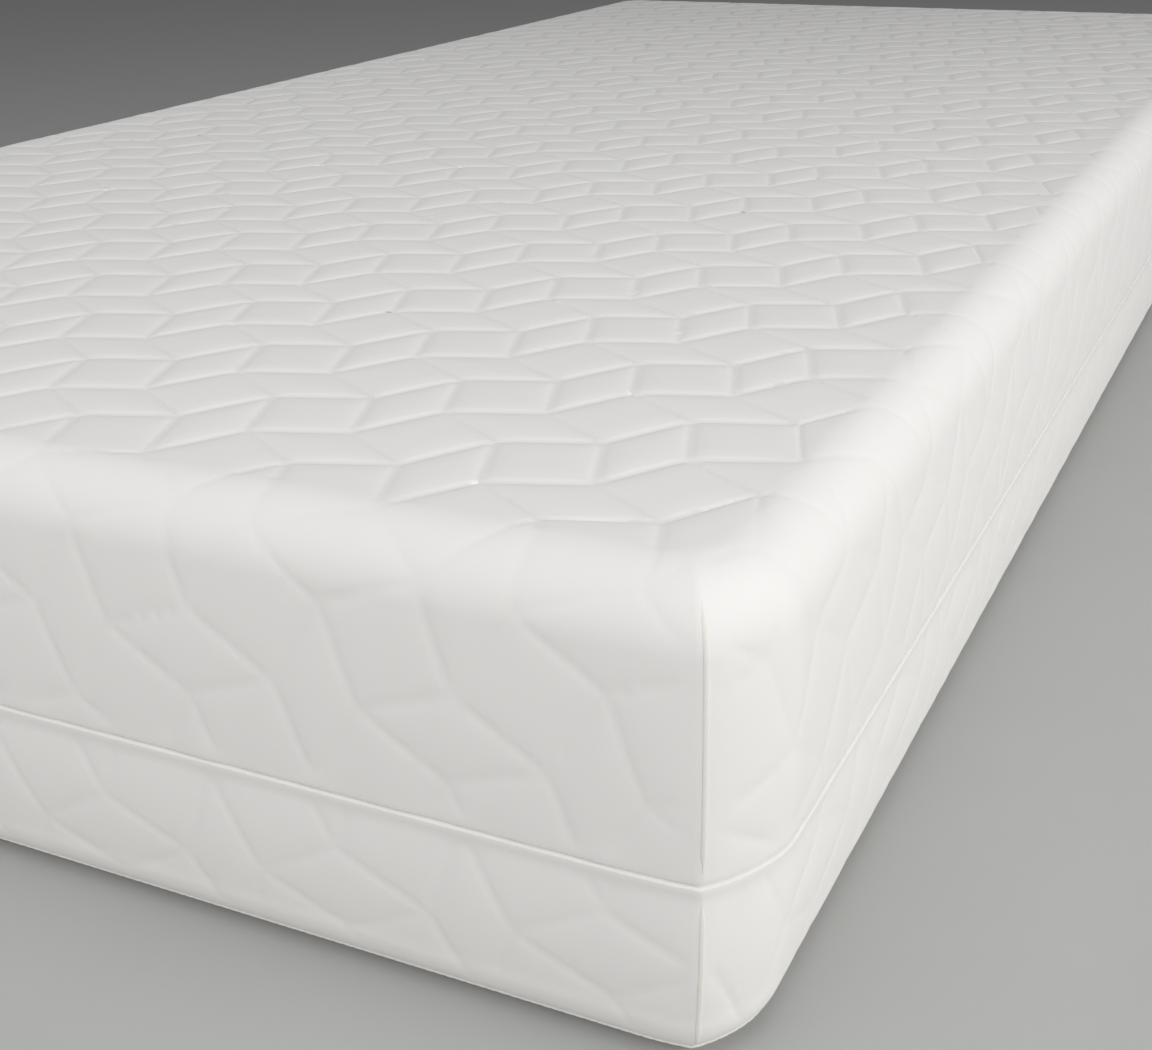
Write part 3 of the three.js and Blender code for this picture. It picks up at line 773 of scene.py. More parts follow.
@dataclass
class UpperCover(Cover):
    """The sleeping surface and its skirts, open below: quilted outside, plain lining inside.

    foot_slip is how far the foot skirt's cloth has crept from where the top's cloth would carry it.
    """

    foot_slip: tuple[float, float] = (-10.8 * MM, -2.9 * MM)
    hem_rise: float = 1.0 * MM
    hem_gap: float = 0.25 * MM
    hem_depth: float = 5 * MM
    bulge: float = 1.6 * MM
    swell: float = 0.5 * MM

    def skirt_section(self) -> Section:
        """The wall from the edge of the flat top to the inner end of the hem, at every station."""
        r, step, tight = self.top_radius, self.plan.step, 1 - self.skirting.looseness()
        edge = quarter(0, 90, math.ceil(r * np.pi / 2 / step))
        inset = [np.full_like(tight, r * (1 - math.sin(a))) for a in edge]
        height = [np.full_like(tight, self.height - r * (1 - math.cos(a))) for a in edge]
        rise = self.hem_rise * tight + self.open_rise * (1 - tight)
        hem = self.zip_height + self.hem_gap * tight + self.open_gap * (1 - tight)
        top, low = self.height - r, hem + rise
        rows = math.ceil((top - self.zip_height - 8 * MM) / step)
        for i in range(1, rows + 1):
            share = i / rows
            inset.append(np.full_like(tight, -self.bulge * math.sin(math.pi * share) ** 0.8))
            height.append(top + (low - top) * share)
        for a in quarter(0, 90, 8):
            inset.append(np.full_like(tight, self.hem_depth * (1 - math.cos(a))))
            height.append(hem + rise * (1 - math.sin(a)))
        return Section(np.array(inset), np.array(height))

    def skirt_cloth(self, section: Section) -> np.ndarray:
        """Where the skirts lie on the flat cloth of the top.

        Straight down from the top's edge, the cloth runs on along the skirt's facing direction. Round a
        corner it starts as the top's own plan and turns into the skirt's over the rounded edge.
        """
        s = self.skirting
        flat = self.plan.corner - self.top_radius
        run = section.travelled() + self.plan.step
        plan = s.centre + (flat + run[..., None]) * s.outward
        reach = abs(s.facing) @ [self.plan.half_width, self.plan.half_length] - self.top_radius
        unrolled = s.along[:, None] * s.tangent() + (reach[None, :, None] + run[..., None]) * s.facing
        unrolled = unrolled - (s.facing[:, 1:] < 0) * self.foot_slip
        share = smoothstep(run / (self.top_radius * np.pi / 2))[..., None]
        return plan * (1 - share) + unrolled * share

    def build(self) -> bpy.types.Object:
        """Makes the piece: top, skirts and hem finely, then the lining at a quarter of the lines."""
        work, plan = Patchwork(), self.plan
        flat = plan.corner - self.top_radius
        face = plan.face(flat)
        relief, move = self.quilt.relief(face, plan.step)
        fade = self.top_fade(face)
        relief, move = relief * fade, move * fade[..., None]
        top = work.add(raised(face + move, self.height + relief + self.unevenness(face)), face)
        work.grid(top[::-1], depth=relief[::-1], flat=(face + move)[::-1])
        section = self.skirt_section()
        cloth = self.skirt_cloth(section)
        points, wall_relief, landed = self.skirts(section, cloth)
        wall = work.add(points, cloth)
        rim = np.concatenate([plan.loop(relief)[None], wall_relief])
        landed = np.concatenate([plan.loop(face + move)[None], landed])
        work.grid(np.concatenate([plan.loop(top)[None], wall]), wrap=True, depth=rim, flat=landed)
        self.lining(work, wall[-1])
        piece = finished(work.build("quilted_top_cover"), WHITE_KNIT, "upper_cover", "top_cover")
        return piece

    def unevenness(self, face: np.ndarray) -> np.ndarray:
        """Two crossing calm waves over the sleeping surface, which die out within 80 mm of its edges."""
        x, y = face[..., 0], face[..., 1]
        waves = self.swell * ripple(x + 0.6 * y, (0.41, 0.63, 0.29), 3)
        waves += self.swell * ripple(y - 0.4 * x, (0.52, 0.77, 0.34), 4)
        return waves * smoothstep(self.from_edge(face) / (80 * MM))

    def from_edge(self, face: np.ndarray) -> np.ndarray:
        """How far each place of the top lies in from the rounded edge."""
        edge_x = self.plan.half_width - self.top_radius - abs(face[..., 0])
        edge_y = self.plan.half_length - self.top_radius - abs(face[..., 1])
        return np.minimum(edge_x, edge_y)

    def skirts(self, section: Section, cloth: np.ndarray) -> tuple[np.ndarray, np.ndarray, np.ndarray]:
        """The skirts' outside, quilted, drawn in beside the corner seams and gathered above the hem.

        Returns:
            The points, their quilt heights and their places on the flat cloth, each as rows x stations.
        """
        relief, move = self.quilt.relief(cloth, self.plan.step)
        fade = self.wall_fade(section)
        down = (move * self.skirting.facing).sum(-1) * fade
        along = (move * self.skirting.tangent()).sum(-1) * fade
        shrink = np.clip((self.plan.corner - section.inset) / self.plan.corner, 0.2, 1)
        points = self.quilted_wall(section, relief * fade, down, along * shrink)
        below_top = smoothstep((self.height - 12 * MM - section.height) / (15 * MM))
        out = self.puckers(section) - self.seam_dip(0.35 * MM, 5 * MM) * below_top
        return points + out[..., None] * self.skirting.outward_in_space(), relief * fade, cloth + move

    def top_fade(self, face: np.ndarray) -> np.ndarray:
        """The top's quilting is full, and calms a little within 25 mm of the rounded edge."""
        return 0.65 + 0.35 * smoothstep(self.from_edge(face) / (25 * MM))

    def wall_fade(self, section: Section) -> np.ndarray:
        """The skirts' quilting is pulled flatter over the rounded edge, and dies out at hem and seam."""
        below_top = smoothstep((self.height - 10 * MM - section.height) / (25 * MM))
        above_hem = smoothstep((section.height - self.zip_height - 3 * MM) / (9 * MM))
        seam = smoothstep(self.skirting.seam_distance / (16 * MM))
        return (0.3 + 0.25 * below_top) * above_hem * seam

    def puckers(self, section: Section) -> np.ndarray:
        """Small gathers above the hem: an uneven wave along the skirt, which fades with height."""
        near = np.exp(-np.clip(section.height - self.zip_height, 0, 1) / (16 * MM))
        wave = ripple(self.skirting.along, (0.031, 0.047, 0.083), 7)
        return 0.35 * MM * wave * near

    def lining(self, work: Patchwork, rim: np.ndarray) -> None:
        """The plain inner face: from the hem's inner end up the skirts and across, cloth thickness inside."""
        low, inset, r = self.zip_height + 4 * MM, self.cloth + 0.6 * MM, self.top_radius - self.cloth
        half = work.add(self.row(self.cloth, low, 2))
        work.halve(rim, half)
        row = work.add(self.row(inset, low + 5 * MM, 4))
        work.halve(half, row)
        rows = [(inset, z) for z in np.linspace(low + 14 * MM, self.height - self.cloth - r, 8)]
        rows += [(inset + r * (1 - math.cos(a)), self.height - inset - r * (1 - math.sin(a)))
                 for a in quarter(0, 80, 6)]
        self.inner_skin(work, row, rows, inset + r, self.height - inset, 1)


@dataclass
class LowerCover(Cover):
    """The border below the zip and the underside, open above.

    lip is how far its hem rolls out past the outline, and lip_fade how soon that dies out below.
    """

    hem_rise: float = 1.5 * MM
    hem_gap: float = 0.6 * MM
    lip: float = 0.7 * MM
    lip_fade: float = 3.0 * MM
    bulge: float = 1.5 * MM

    def border_section(self) -> Section:
        """The wall from the hem's inner end, over its lip, down the border and under to the underside."""
        loose = self.skirting.looseness()
        tight = 1 - loose
        step, r, start = self.plan.step, self.bottom_radius, self.lower_inset
        depth = 4.2 * MM * tight + 4.4 * MM * loose
        rise = self.hem_rise * tight + self.open_rise * loose
        hem = self.zip_height + self.hem_gap * tight - self.open_gap * loose
        proud = (start + self.lip) * tight
        inset, height = [], []
        for a in np.radians(np.linspace(90, 0, 10)):
            inset.append(start - proud + depth * (1 - math.cos(a)))
            height.append(hem - rise * (1 - math.sin(a)))
        rows = math.ceil((self.zip_height - 6 * MM - r) / step)
        for i in range(1, rows + 1):
            share = i / rows
            lip = proud * math.exp(-((share * rows * step / self.lip_fade) ** 2))
            bulge = self.bulge * math.sin(math.pi * share) ** 0.9
            inset.append(start - lip - bulge + self.taper * share**2)
            height.append((hem - rise) * (1 - share) + r * share)
        for a in quarter(0, 90, math.ceil(r * np.pi / 2 / step)):
            inset.append(np.full_like(tight, start + self.taper + (r - self.taper) * (1 - math.cos(a))))
            height.append(np.full_like(tight, r - r * math.sin(a)))
        return Section(np.array(inset), np.array(height))

    def build(self) -> bpy.types.Object:
        """Makes the piece: border and hem finely, underside at half the lines, inside at a quarter."""
        work, section = Patchwork(), self.border_section()
        below = np.cumsum(np.full(section.inset.shape, self.plan.step), axis=0)
        cloth = np.stack([np.broadcast_to(self.perimeter(), section.inset.shape), -below], axis=-1)
        relief, move = self.border_quilt.relief(cloth, self.plan.step)
        fade = self.border_fade(section)
        relief, down, along = relief * fade, -move[..., 1] * fade, move[..., 0] * fade
        dip = self.seam_dip(0.3 * MM, 5 * MM) * smoothstep(section.height / (12 * MM))
        points = self.quilted_wall(section, relief, down, along)
        points = points - dip[..., None] * self.skirting.outward_in_space()
        points[..., 2] = np.maximum(points[..., 2], 0)
        wall = work.add(points, cloth)
        work.grid(wall, wrap=True, depth=relief, flat=cloth + move * fade[..., None])
        self.underside(work, wall[-1])
        self.inside(work, wall[0])
        piece = finished(work.build("quilted_base_cover"), WHITE_KNIT, "base", "base_cover")
        return piece

    def perimeter(self) -> np.ndarray:
        """Each station's length round the outline."""
        corner = self.skirting.centre + self.plan.corner * self.skirting.outward
        steps = np.linalg.norm(np.diff(corner, axis=0, append=corner[:1]), axis=1)
        return np.concatenate([[0], np.cumsum(steps)[:-1]])

    def border_fade(self, section: Section) -> np.ndarray:
        """The border's quilting dies out in the hem and towards the base seam."""
        hem = smoothstep((self.zip_height - 4 * MM - section.height) / (7 * MM))
        seam = smoothstep(self.skirting.seam_distance / (8 * MM))
        return 0.85 * hem * smoothstep((section.height - 8 * MM) / (16 * MM)) * seam

    def underside(self, work: Patchwork, rim: np.ndarray) -> None:
        """The flat underside, whose creases go up into the cloth."""
        half = self.plan.coarser(2)
        face = half.face(self.plan.corner - self.lower_inset - self.bottom_radius - 2 * MM)
        relief, move = self.border_quilt.relief(face * [1, -1] + 0.3, 2 * self.plan.step)
        inner = np.min([self.plan.half_width, self.plan.half_length] - abs(face), axis=-1)
        fade = smoothstep((inner - 30 * MM) / (20 * MM))
        lift = (self.border_quilt.dome - relief) * fade
        plan_points = face + move * [1, -1] * fade[..., None]
        ids = work.add(raised(plan_points, lift), face)
        work.grid(ids, depth=relief * fade, flat=plan_points)
        work.halve(rim, half.loop(ids))

    def inside(self, work: Patchwork, rim: np.ndarray) -> None:
        """The plain inner faces: down from the hem's inner end and across the bottom."""
        top, inset = self.zip_height - 4 * MM, self.lower_inset + self.cloth
        r = self.bottom_radius - self.cloth
        half = work.add(self.row(inset, top, 2))
        work.halve(np.roll(rim[::-1], 1), np.roll(half[::-1], 1))
        row = work.add(self.row(inset, top - 6 * MM, 4))
        work.halve(np.roll(half[::-1], 1), np.roll(row[::-1], 1))
        rows = [(inset, z) for z in np.linspace(top - 12 * MM, self.cloth + r, 5)]
        rows += [(inset + r * (1 - math.cos(a)), self.cloth + r * (1 - math.sin(a)))
                 for a in quarter(0, 80, 6)]
        self.inner_skin(work, row, rows, inset + r, self.cloth, -1)


# ---- Sewn trim and zip --------------------------------------------------------------------------


@dataclass
class Trim:
    """Threads, tapes and coils that run along the cover."""

    cover: Cover

    def hoop(self, name: str, node: str, body: str, finish: Finish, section: np.ndarray, count: int,
             middle: tuple[float, float], swell: np.ndarray | None = None) -> bpy.types.Object:
        """Carries a closed section round the outline.

        Args:
            section: outward and upward offsets of each point from the middle.
            count: how many times the section is repeated round the way.
            middle: the inset and height of the hoop's centre line.
            swell: a factor on the section's size at each repeat.
        Returns:
            The finished piece.
        """
        plan = self.cover.plan
        along = np.arange(count) / count * plan.path_length(middle[0])
        place, outward = plan.path(middle[0], along)
        place = place + corner_fold(outward, np.full(count, middle[0]))[:, None] * outward
        size = np.ones(count) if swell is None else swell
        reach = size[:, None, None] * section[None, :, :1] * outward[:, None, :]
        rise = size[:, None] * section[None, :, 1] + middle[1]
        rings = np.concatenate([place[:, None, :] + reach, rise[..., None]], axis=-1)
        work = Patchwork()
        work.tube(rings, closed=True)
        return finished(work.build(name), finish, body, node)

    def base_seam(self, height: float) -> bpy.types.Object:
        """The rolled seam at the base: an oval rope, slightly pinched by each stitch."""
        cover = self.cover
        level = 1 - height / cover.bottom_radius
        round_off = (cover.bottom_radius - cover.taper) * (1 - math.sqrt(1 - level**2))
        inset = cover.lower_inset + cover.taper + round_off
        turn = np.arange(8) * TAU / 8
        section = 1.1 * MM * np.stack([np.cos(turn), np.sin(turn)], axis=-1)
        count = 5 * round(cover.plan.path_length(inset) / (5 * MM))
        swell = 1 - 0.16 * (np.arange(count) % 5 == 0)
        return self.hoop("base_edge_piping", "base_edge_seam", "base", SEAM_THREAD, section, count,
                         (inset + 0.5 * MM, height), swell)

    def coil(self, side: int, height: float, inset: float) -> bpy.types.Object:
        """One row of zip coil: a flat loop at every 3.3 mm, with a waist between loops."""
        word, body = ("upper", "upper_cover") if side > 0 else ("lower", "base")
        turn = (np.arange(6) + 0.5) * TAU / 6
        section = 1.15 * MM * np.stack([np.cos(turn), np.sin(turn)], axis=-1)
        count = 4 * round(self.cover.plan.path_length(inset) / (3.3 * MM))
        swell = np.array([0.62, 1.0, 1.0, 1.0])[np.arange(count) % 4]
        return self.hoop(f"toothed_coil_{word}", f"zip_coil_{word}", body, COIL, section, count,
                         (inset, height), swell)

    def tape(self, side: int, edge: float, inset: float) -> bpy.types.Object:
        """One woven tape: flat against its cover, bent in to its coil, with two raised lines of stitching."""
        word, body = ("upper", "upper_cover") if side > 0 else ("lower", "base")
        away = np.array([0.0, 1.2, 3.0, 4.8, 8.0, 9.0, 10.0, 16.0, 17.0, 18.0, 18.6]) * MM
        depth = inset - np.array([0.0, 0.1, 1.2, 2.3, 2.4, 2.7, 2.4, 2.4, 2.7, 2.4, 2.4]) * MM
        outer = np.stack([-depth, edge + side * away], axis=-1)
        inner = np.stack([-depth - 0.7 * MM, edge + side * away], axis=-1)
        section = np.concatenate([outer, inner[::-1]])
        section = section if side > 0 else section[::-1]
        return self.hoop(f"woven_tape_{word}", f"zip_tape_{word}", body, TAPE, section, 1100, (0.0, 0.0))

    def corner_seam(self, corner: str, section: Section, body: str, limits: tuple[float, float]) -> None:
        """A corner seam: a flat rope that lies in the cover's dip and narrows to nothing at both ends.

        Args:
            corner: which corner, as in the CAD node's name.
            section: the wall that it lies on.
            body: the body that it rides on, which also tells the upper one from the lower one.
            limits: its lowest and highest point.
        """
        word = "upper" if body == "upper_cover" else "lower"
        station = self.cover.skirting.seams()[corner]
        inset, height = section.inset[:, station], section.height[:, station]
        inside = (height >= limits[0]) & (height <= limits[1])
        inset, height = inset[inside], height[inside]
        out, up = (part[inside, station] for part in section.normals())
        travel = np.concatenate([[0], np.cumsum(np.hypot(np.diff(inset), np.diff(height)))])
        fine = np.linspace(0, travel[-1], int(travel[-1] / (0.8 * MM)))
        inset, height, out, up = (np.interp(fine, travel, value) for value in (inset, height, out, up))
        plan = self.cover.plan
        middle = self.cover.skirting.between_skirts(station)
        outward = np.array([math.cos(middle), math.sin(middle)])
        heading = np.array([-outward[1], outward[0]])
        centre = self.cover.skirting.centre[station]
        taper = smoothstep(np.minimum(fine, travel[-1] - fine) / (9 * MM)) * 0.9 + 0.1
        stitch = 1 - 0.12 * np.cos(TAU * fine / (3.6 * MM)) ** 8
        turn = np.arange(10) * TAU / 10
        wide = 1.15 * MM * taper[:, None] * stitch[:, None] * np.sin(turn)
        thick = 0.65 * MM * taper[:, None] * stitch[:, None] * np.cos(turn)
        wall_at = plan.corner - inset + corner_fold(outward, inset) - 0.1 * MM
        reach = wall_at[:, None] + thick * out[:, None]
        place = centre + reach[..., None] * outward + wide[..., None] * heading
        rise = height[:, None] + thick * up[:, None]
        rings = np.concatenate([place, rise[..., None]], axis=-1)
        work = Patchwork()
        work.tube(rings)
        piece = work.build(f"corner_piping_{word}_{corner}")
        finished(piece, SEAM_THREAD, body, f"corner_seam_{word}_{corner}")

    def label(self, low: Vector, high: Vector, inset: float) -> None:
        """The care label: blank satin ribbon, a little bowed, with a sewn border."""
        uu, vv = np.meshgrid(np.linspace(0, 1, 57), np.linspace(0, 1, 29))
        wide, tall = high.x - low.x, high.z - low.z
        rim = np.minimum(np.minimum(uu, 1 - uu) * wide, np.minimum(vv, 1 - vv) * tall)
        sewn = np.sin((uu * wide + vv * tall) * TAU / (3.5 * MM)) > -0.3
        stitches = np.exp(-(((rim - 2.5 * MM) / (0.7 * MM)) ** 2)) * sewn
        bow = 0.6 * MM * np.sin(math.pi * uu) * np.sin(math.pi * vv) + 0.25 * MM * np.sin(9 * uu + 4 * vv)
        front = self.cover.plan.half_length - inset + 0.5 * MM + bow - 0.3 * MM * stitches
        x, z = low.x + uu * wide, low.z + vv * tall
        cloth = np.stack([x, z], axis=-1)
        work = Patchwork()
        outer = work.add(np.stack([x, front, z], axis=-1), cloth)
        inner = work.add(np.stack([x, front - 0.45 * MM, z], axis=-1), cloth)
        work.grid(outer)
        work.grid(inner[:, ::-1])
        loop = self.cover.plan.loop
        work.grid(np.stack([loop(inner), loop(outer)]), wrap=True)
        finished(work.build("satin_care_label"), SATIN, "base", "care_label")


class Metalwork:
    """Gathers small bevelled solids, and makes one mesh of them."""

    def __init__(self) -> None:
        """Starts empty."""
        self.mesh = bmesh.new()

    def prism(self, outline: np.ndarray, low: float, high: float, bevel: float, frame_at: Matrix) -> None:
        """Adds a flat plate of any outline.

        Args:
            outline: its corners, in the plate's own two axes.
            low: where it starts along the third axis.
            high: where it ends.
            bevel: how far its sharp edges are rounded.
            frame_at: turns the plate's axes into the model's.
        """
        part = bmesh.new()
        corners = [part.verts.new((u, v, low)) for u, v in outline]
        made = bmesh.ops.extrude_face_region(part, geom=[part.faces.new(corners)])
        lifted = [item for item in made["geom"] if isinstance(item, bmesh.types.BMVert)]
        bmesh.ops.translate(part, verts=lifted, vec=(0, 0, high - low))
        bmesh.ops.recalc_face_normals(part, faces=part.faces)
        sharp = [edge for edge in part.edges if edge.calc_face_angle() > 0.6]
        bmesh.ops.bevel(part, geom=sharp, offset=bevel, segments=3, profile=0.5, affect="EDGES")
        part.transform(frame_at)
        bmesh.ops.triangulate(part, faces=part.faces)
        if part.calc_volume(signed=True) < 0:
            bmesh.ops.reverse_faces(part, faces=part.faces)
        held = bpy.data.meshes.new("held")
        part.to_mesh(held)
        part.free()
        self.mesh.from_mesh(held)
        bpy.data.meshes.remove(held)

    def build(self, name: str) -> bpy.types.Object:
        """Makes the Blender object."""
        mesh = bpy.data.meshes.new(name)
        self.mesh.to_mesh(mesh)
        self.mesh.free()
        mesh.shade_smooth()
        mesh.set_sharp_from_angle(angle=math.radians(35))
        piece = bpy.data.objects.new(name, mesh)
        bpy.context.scene.collection.objects.link(piece)
        return piece


def oblong(long: float, wide: float, rounding: float, steps: int = 6) -> np.ndarray:
    """The corners of a rectangle about the origin with rounded corners."""
    corners = [(1, 1, 0), (-1, 1, 90), (-1, -1, 180), (1, -1, 270)]
    rows = []
    for sx, sy, start in corners:
        for a in np.radians(np.linspace(start, start + 90, steps)):
            rows.append((sx * (long / 2 - rounding) + rounding * math.cos(a),
                         sy * (wide / 2 - rounding) + rounding * math.sin(a)))
    return np.array(rows)


@dataclass
class ZipHardware:
    """The slider, its pull tab and the two stops, all on the left side.

    Each is drawn in its own frame: first axis along the zip towards the head, second up, third inwards.
    """

    side: float
    slider_y: float
    height: float
    pin_inset: float = 1.6 * MM

    def at(self, along: float, inset: float = 0.0) -> Matrix:
        """The frame whose origin lies on the zip at that place along it, at that depth."""
        return Matrix(((0, 0, 1, self.side + inset), (1, 0, 0, along), (0, 1, 0, self.height), (0, 0, 0, 1)))

    def slider(self) -> None:
        """Two flanged plates, the wedge between them, and the crown with the tab's pin."""
        work, here = Metalwork(), self.at(self.slider_y)
        body = oblong(12 * MM, 8 * MM, 2.4 * MM)
        shoulders = body * np.stack([np.ones(len(body)), 1 - 0.16 * (body[:, 0] < 0)], axis=-1)
        for low, high in ((7.3, 8.35), (11.65, 12.6)):
            work.prism(shoulders, low * MM, high * MM, 0.28 * MM, here)
        work.prism(oblong(3 * MM, 1 * MM, 0.4 * MM), 8.2 * MM, 11.8 * MM, 0.1 * MM, here)
        work.prism(oblong(3.0 * MM, 2 * MM, 0.5 * MM), 1.0 * MM, 7.5 * MM, 0.25 * MM, here)
        work.prism(oblong(8.0 * MM, 2 * MM, 0.8 * MM), 6.3 * MM, 7.5 * MM, 0.3 * MM, here)
        pin = self.at(self.slider_y, self.pin_inset) @ Matrix.Rotation(math.pi / 2, 4, "X")
        turn = np.arange(20) * TAU / 20
        circle = 0.5 * MM * np.stack([np.cos(turn), np.sin(turn)], axis=-1)
        work.prism(circle, -2.5 * MM, 2.5 * MM, 0.1 * MM, pin)
        finished(work.build("slider_body"), PLATED, "slider", "zip_slider")

    def pull_tab(self) -> None:
        """A fork round the pin, and a tab with rounded end, raised rim and grip bars."""
        work, here = Metalwork(), self.at(self.slider_y, self.pin_inset)
        tab = oblong(26 * MM, 6 * MM, 2.2 * MM, 8) - [17 * MM, 0]
        work.prism(tab, -0.36 * MM, 0.36 * MM, 0.16 * MM, here)
        for level in (1.8 * MM, -1.8 * MM):
            arm = oblong(7.2 * MM, 1.0 * MM, 0.3 * MM) + [-2.6 * MM, level]
            work.prism(arm, -0.95 * MM, 0.5 * MM, 0.18 * MM, here)
            rim = oblong(21 * MM, 0.8 * MM, 0.35 * MM) + [-16.6 * MM, level * 1.32]
            work.prism(rim, -0.5 * MM, 0.5 * MM, 0.15 * MM, here)
        for along in (-20, -22, -24, -26):
            bar = oblong(0.7 * MM, 3.4 * MM, 0.3 * MM) + [along * MM, 0]
            work.prism(bar, -0.5 * MM, 0.5 * MM, 0.14 * MM, here)
        finished(work.build("pull_tab_plate"), PLATED, "pull_tab", "zip_pull_tab")

    def stops(self, low: float, inset: float) -> None:
        """A bent clip round each coil's end."""
        for side, word, body in ((1, "upper", "upper_cover"), (-1, "lower", "base")):
            work = Metalwork()
            shape = np.array([(-2.0, 0.25), (2.0, 0.25), (2.0, 3.1), (1.45, 3.1), (1.45, 0.6), (-1.45, 0.6),
                              (-1.45, 3.1), (-2.0, 3.1)]) * MM
            axes = Matrix(((1, 0, 0, self.side + inset), (0, 0, 1, low),
                           (0, side, 0, self.height), (0, 0, 0, 1)))
            work.prism(shape, 0, 4 * MM, 0.12 * MM, axes)
            finished(work.build(f"stop_clip_{word}"), PLATED, body, f"zip_stop_{word}")


# ---- Sleeve and foam ----------------------------------------------------------------------------


@dataclass(frozen=True)
class Slots:
    """Parallel cuts into a foam face: their middles along each axis, and their width and depth."""

    across: tuple[float, ...] = ()
    along: tuple[float, ...] = ()
    width: float = 6 * MM
    depth: float = 34 * MM

    def lines(self, middles: tuple[float, ...]) -> tuple[float, ...]:
        """The mesh lines that the cuts need: one each side of each edge."""
        half, wall = self.width / 2, 0.25 * MM
        return tuple(m + o for m in middles for o in (-half - wall, -half, half, half + wall))

    def inside(self, x: np.ndarray, y: np.ndarray) -> np.ndarray:
        """Whether each place lies in a cut."""
        found = np.zeros(np.broadcast(x, y).shape, dtype=bool)
        for middles, value in ((self.across, x), (self.along, y)):
            for middle in middles:
                found |= abs(value - middle) < self.width / 2 + 0.1 * MM
        return found


@dataclass
class FoamBlock:
    """One foam layer: a block with round edges and calm, slightly uneven faces."""

    name: str
    node: str
    finish: Finish
    corner: float
    top_edge: float
    low_edge: float
    slots: Slots = Slots()
    cuts_below: bool = False
    shrink: float = 0.4 * MM

    def build(self) -> bpy.types.Object:
        """Makes the block from its CAD node's box."""
        low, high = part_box(self.node)
        middle = (low + high) / 2
        floor, roof = low.z + 0.1 * MM, high.z - self.shrink
        top_edge, low_edge = self.top_edge, self.low_edge
        if self.cuts_below:
            top_edge, low_edge = low_edge, top_edge
        cuts = (self.slots.lines(self.slots.across), self.slots.lines(self.slots.along))
        half = high - middle - Vector((1, 1, 1)) * 0.3 * MM
        plan = PlanGrid(half.x, half.y, self.corner, 18 * MM, 5, cuts)
        work = Patchwork()
        px, py = np.meshgrid(plan.place_x, plan.place_y)
        face = plan.face(self.corner - top_edge)
        cut = self.slots.inside(px, py)
        uneven = 0.25 * MM * ripple(face[..., 0] + face[..., 1], (0.11, 0.17, 0.29), 5) - 0.25 * MM
        top = work.add(raised(face, roof + uneven - self.slots.depth * cut), face)
        work.grid(top[::-1])
        centre, outward = plan.stations()
        drop = self.slots.depth * self.slots.inside(centre[:, 0], centre[:, 1])
        angles = quarter(0, 90, 6)
        lower = np.append(0.0, angles[:-1])
        inset = [top_edge * (1 - math.sin(a)) for a in angles] + [0.0] * 4
        share = [top_edge * (1 - math.cos(a)) for a in angles]
        share += list(np.linspace(top_edge, roof - floor - low_edge, 6)[1:-1])
        inset += [low_edge * (1 - math.cos(a)) for a in lower]
        share += [roof - floor - low_edge * (1 - math.sin(a)) for a in lower]
        sunk = np.array(share)[:, None]
        height = roof - drop - sunk * (roof - floor - drop) / (roof - floor)
        reach = (self.corner - np.array(inset))[:, None, None]
        wall_plan = centre + reach * outward
        bow = 0.4 * MM * ripple(centre @ [1.0, 0.7], (0.23, 0.41), 6)[:, None] * outward
        wall_plan = wall_plan - abs(bow) * np.sin(np.pi * sunk / (roof - floor))[..., None]
        wall = work.add(raised(wall_plan, height), wall_plan)
        work.grid(np.concatenate([plan.loop(top)[None], wall]), wrap=True)
        under = plan.face(self.corner - low_edge)
        base = work.add(raised(under, floor), under)
        work.grid(base)
        work.grid(np.stack([wall[-1], plan.loop(base)]), wrap=True)
        if self.cuts_below:
            work.turn_over((roof + floor) / 2)
        work.points = [points + [middle.x, middle.y, 0] for points in work.points]
        piece = finished(work.build(self.name, smooth=False), self.finish, "base", self.node)
        piece.data.shade_smooth()
        piece.data.set_sharp_from_angle(angle=math.radians(50))
        return piece


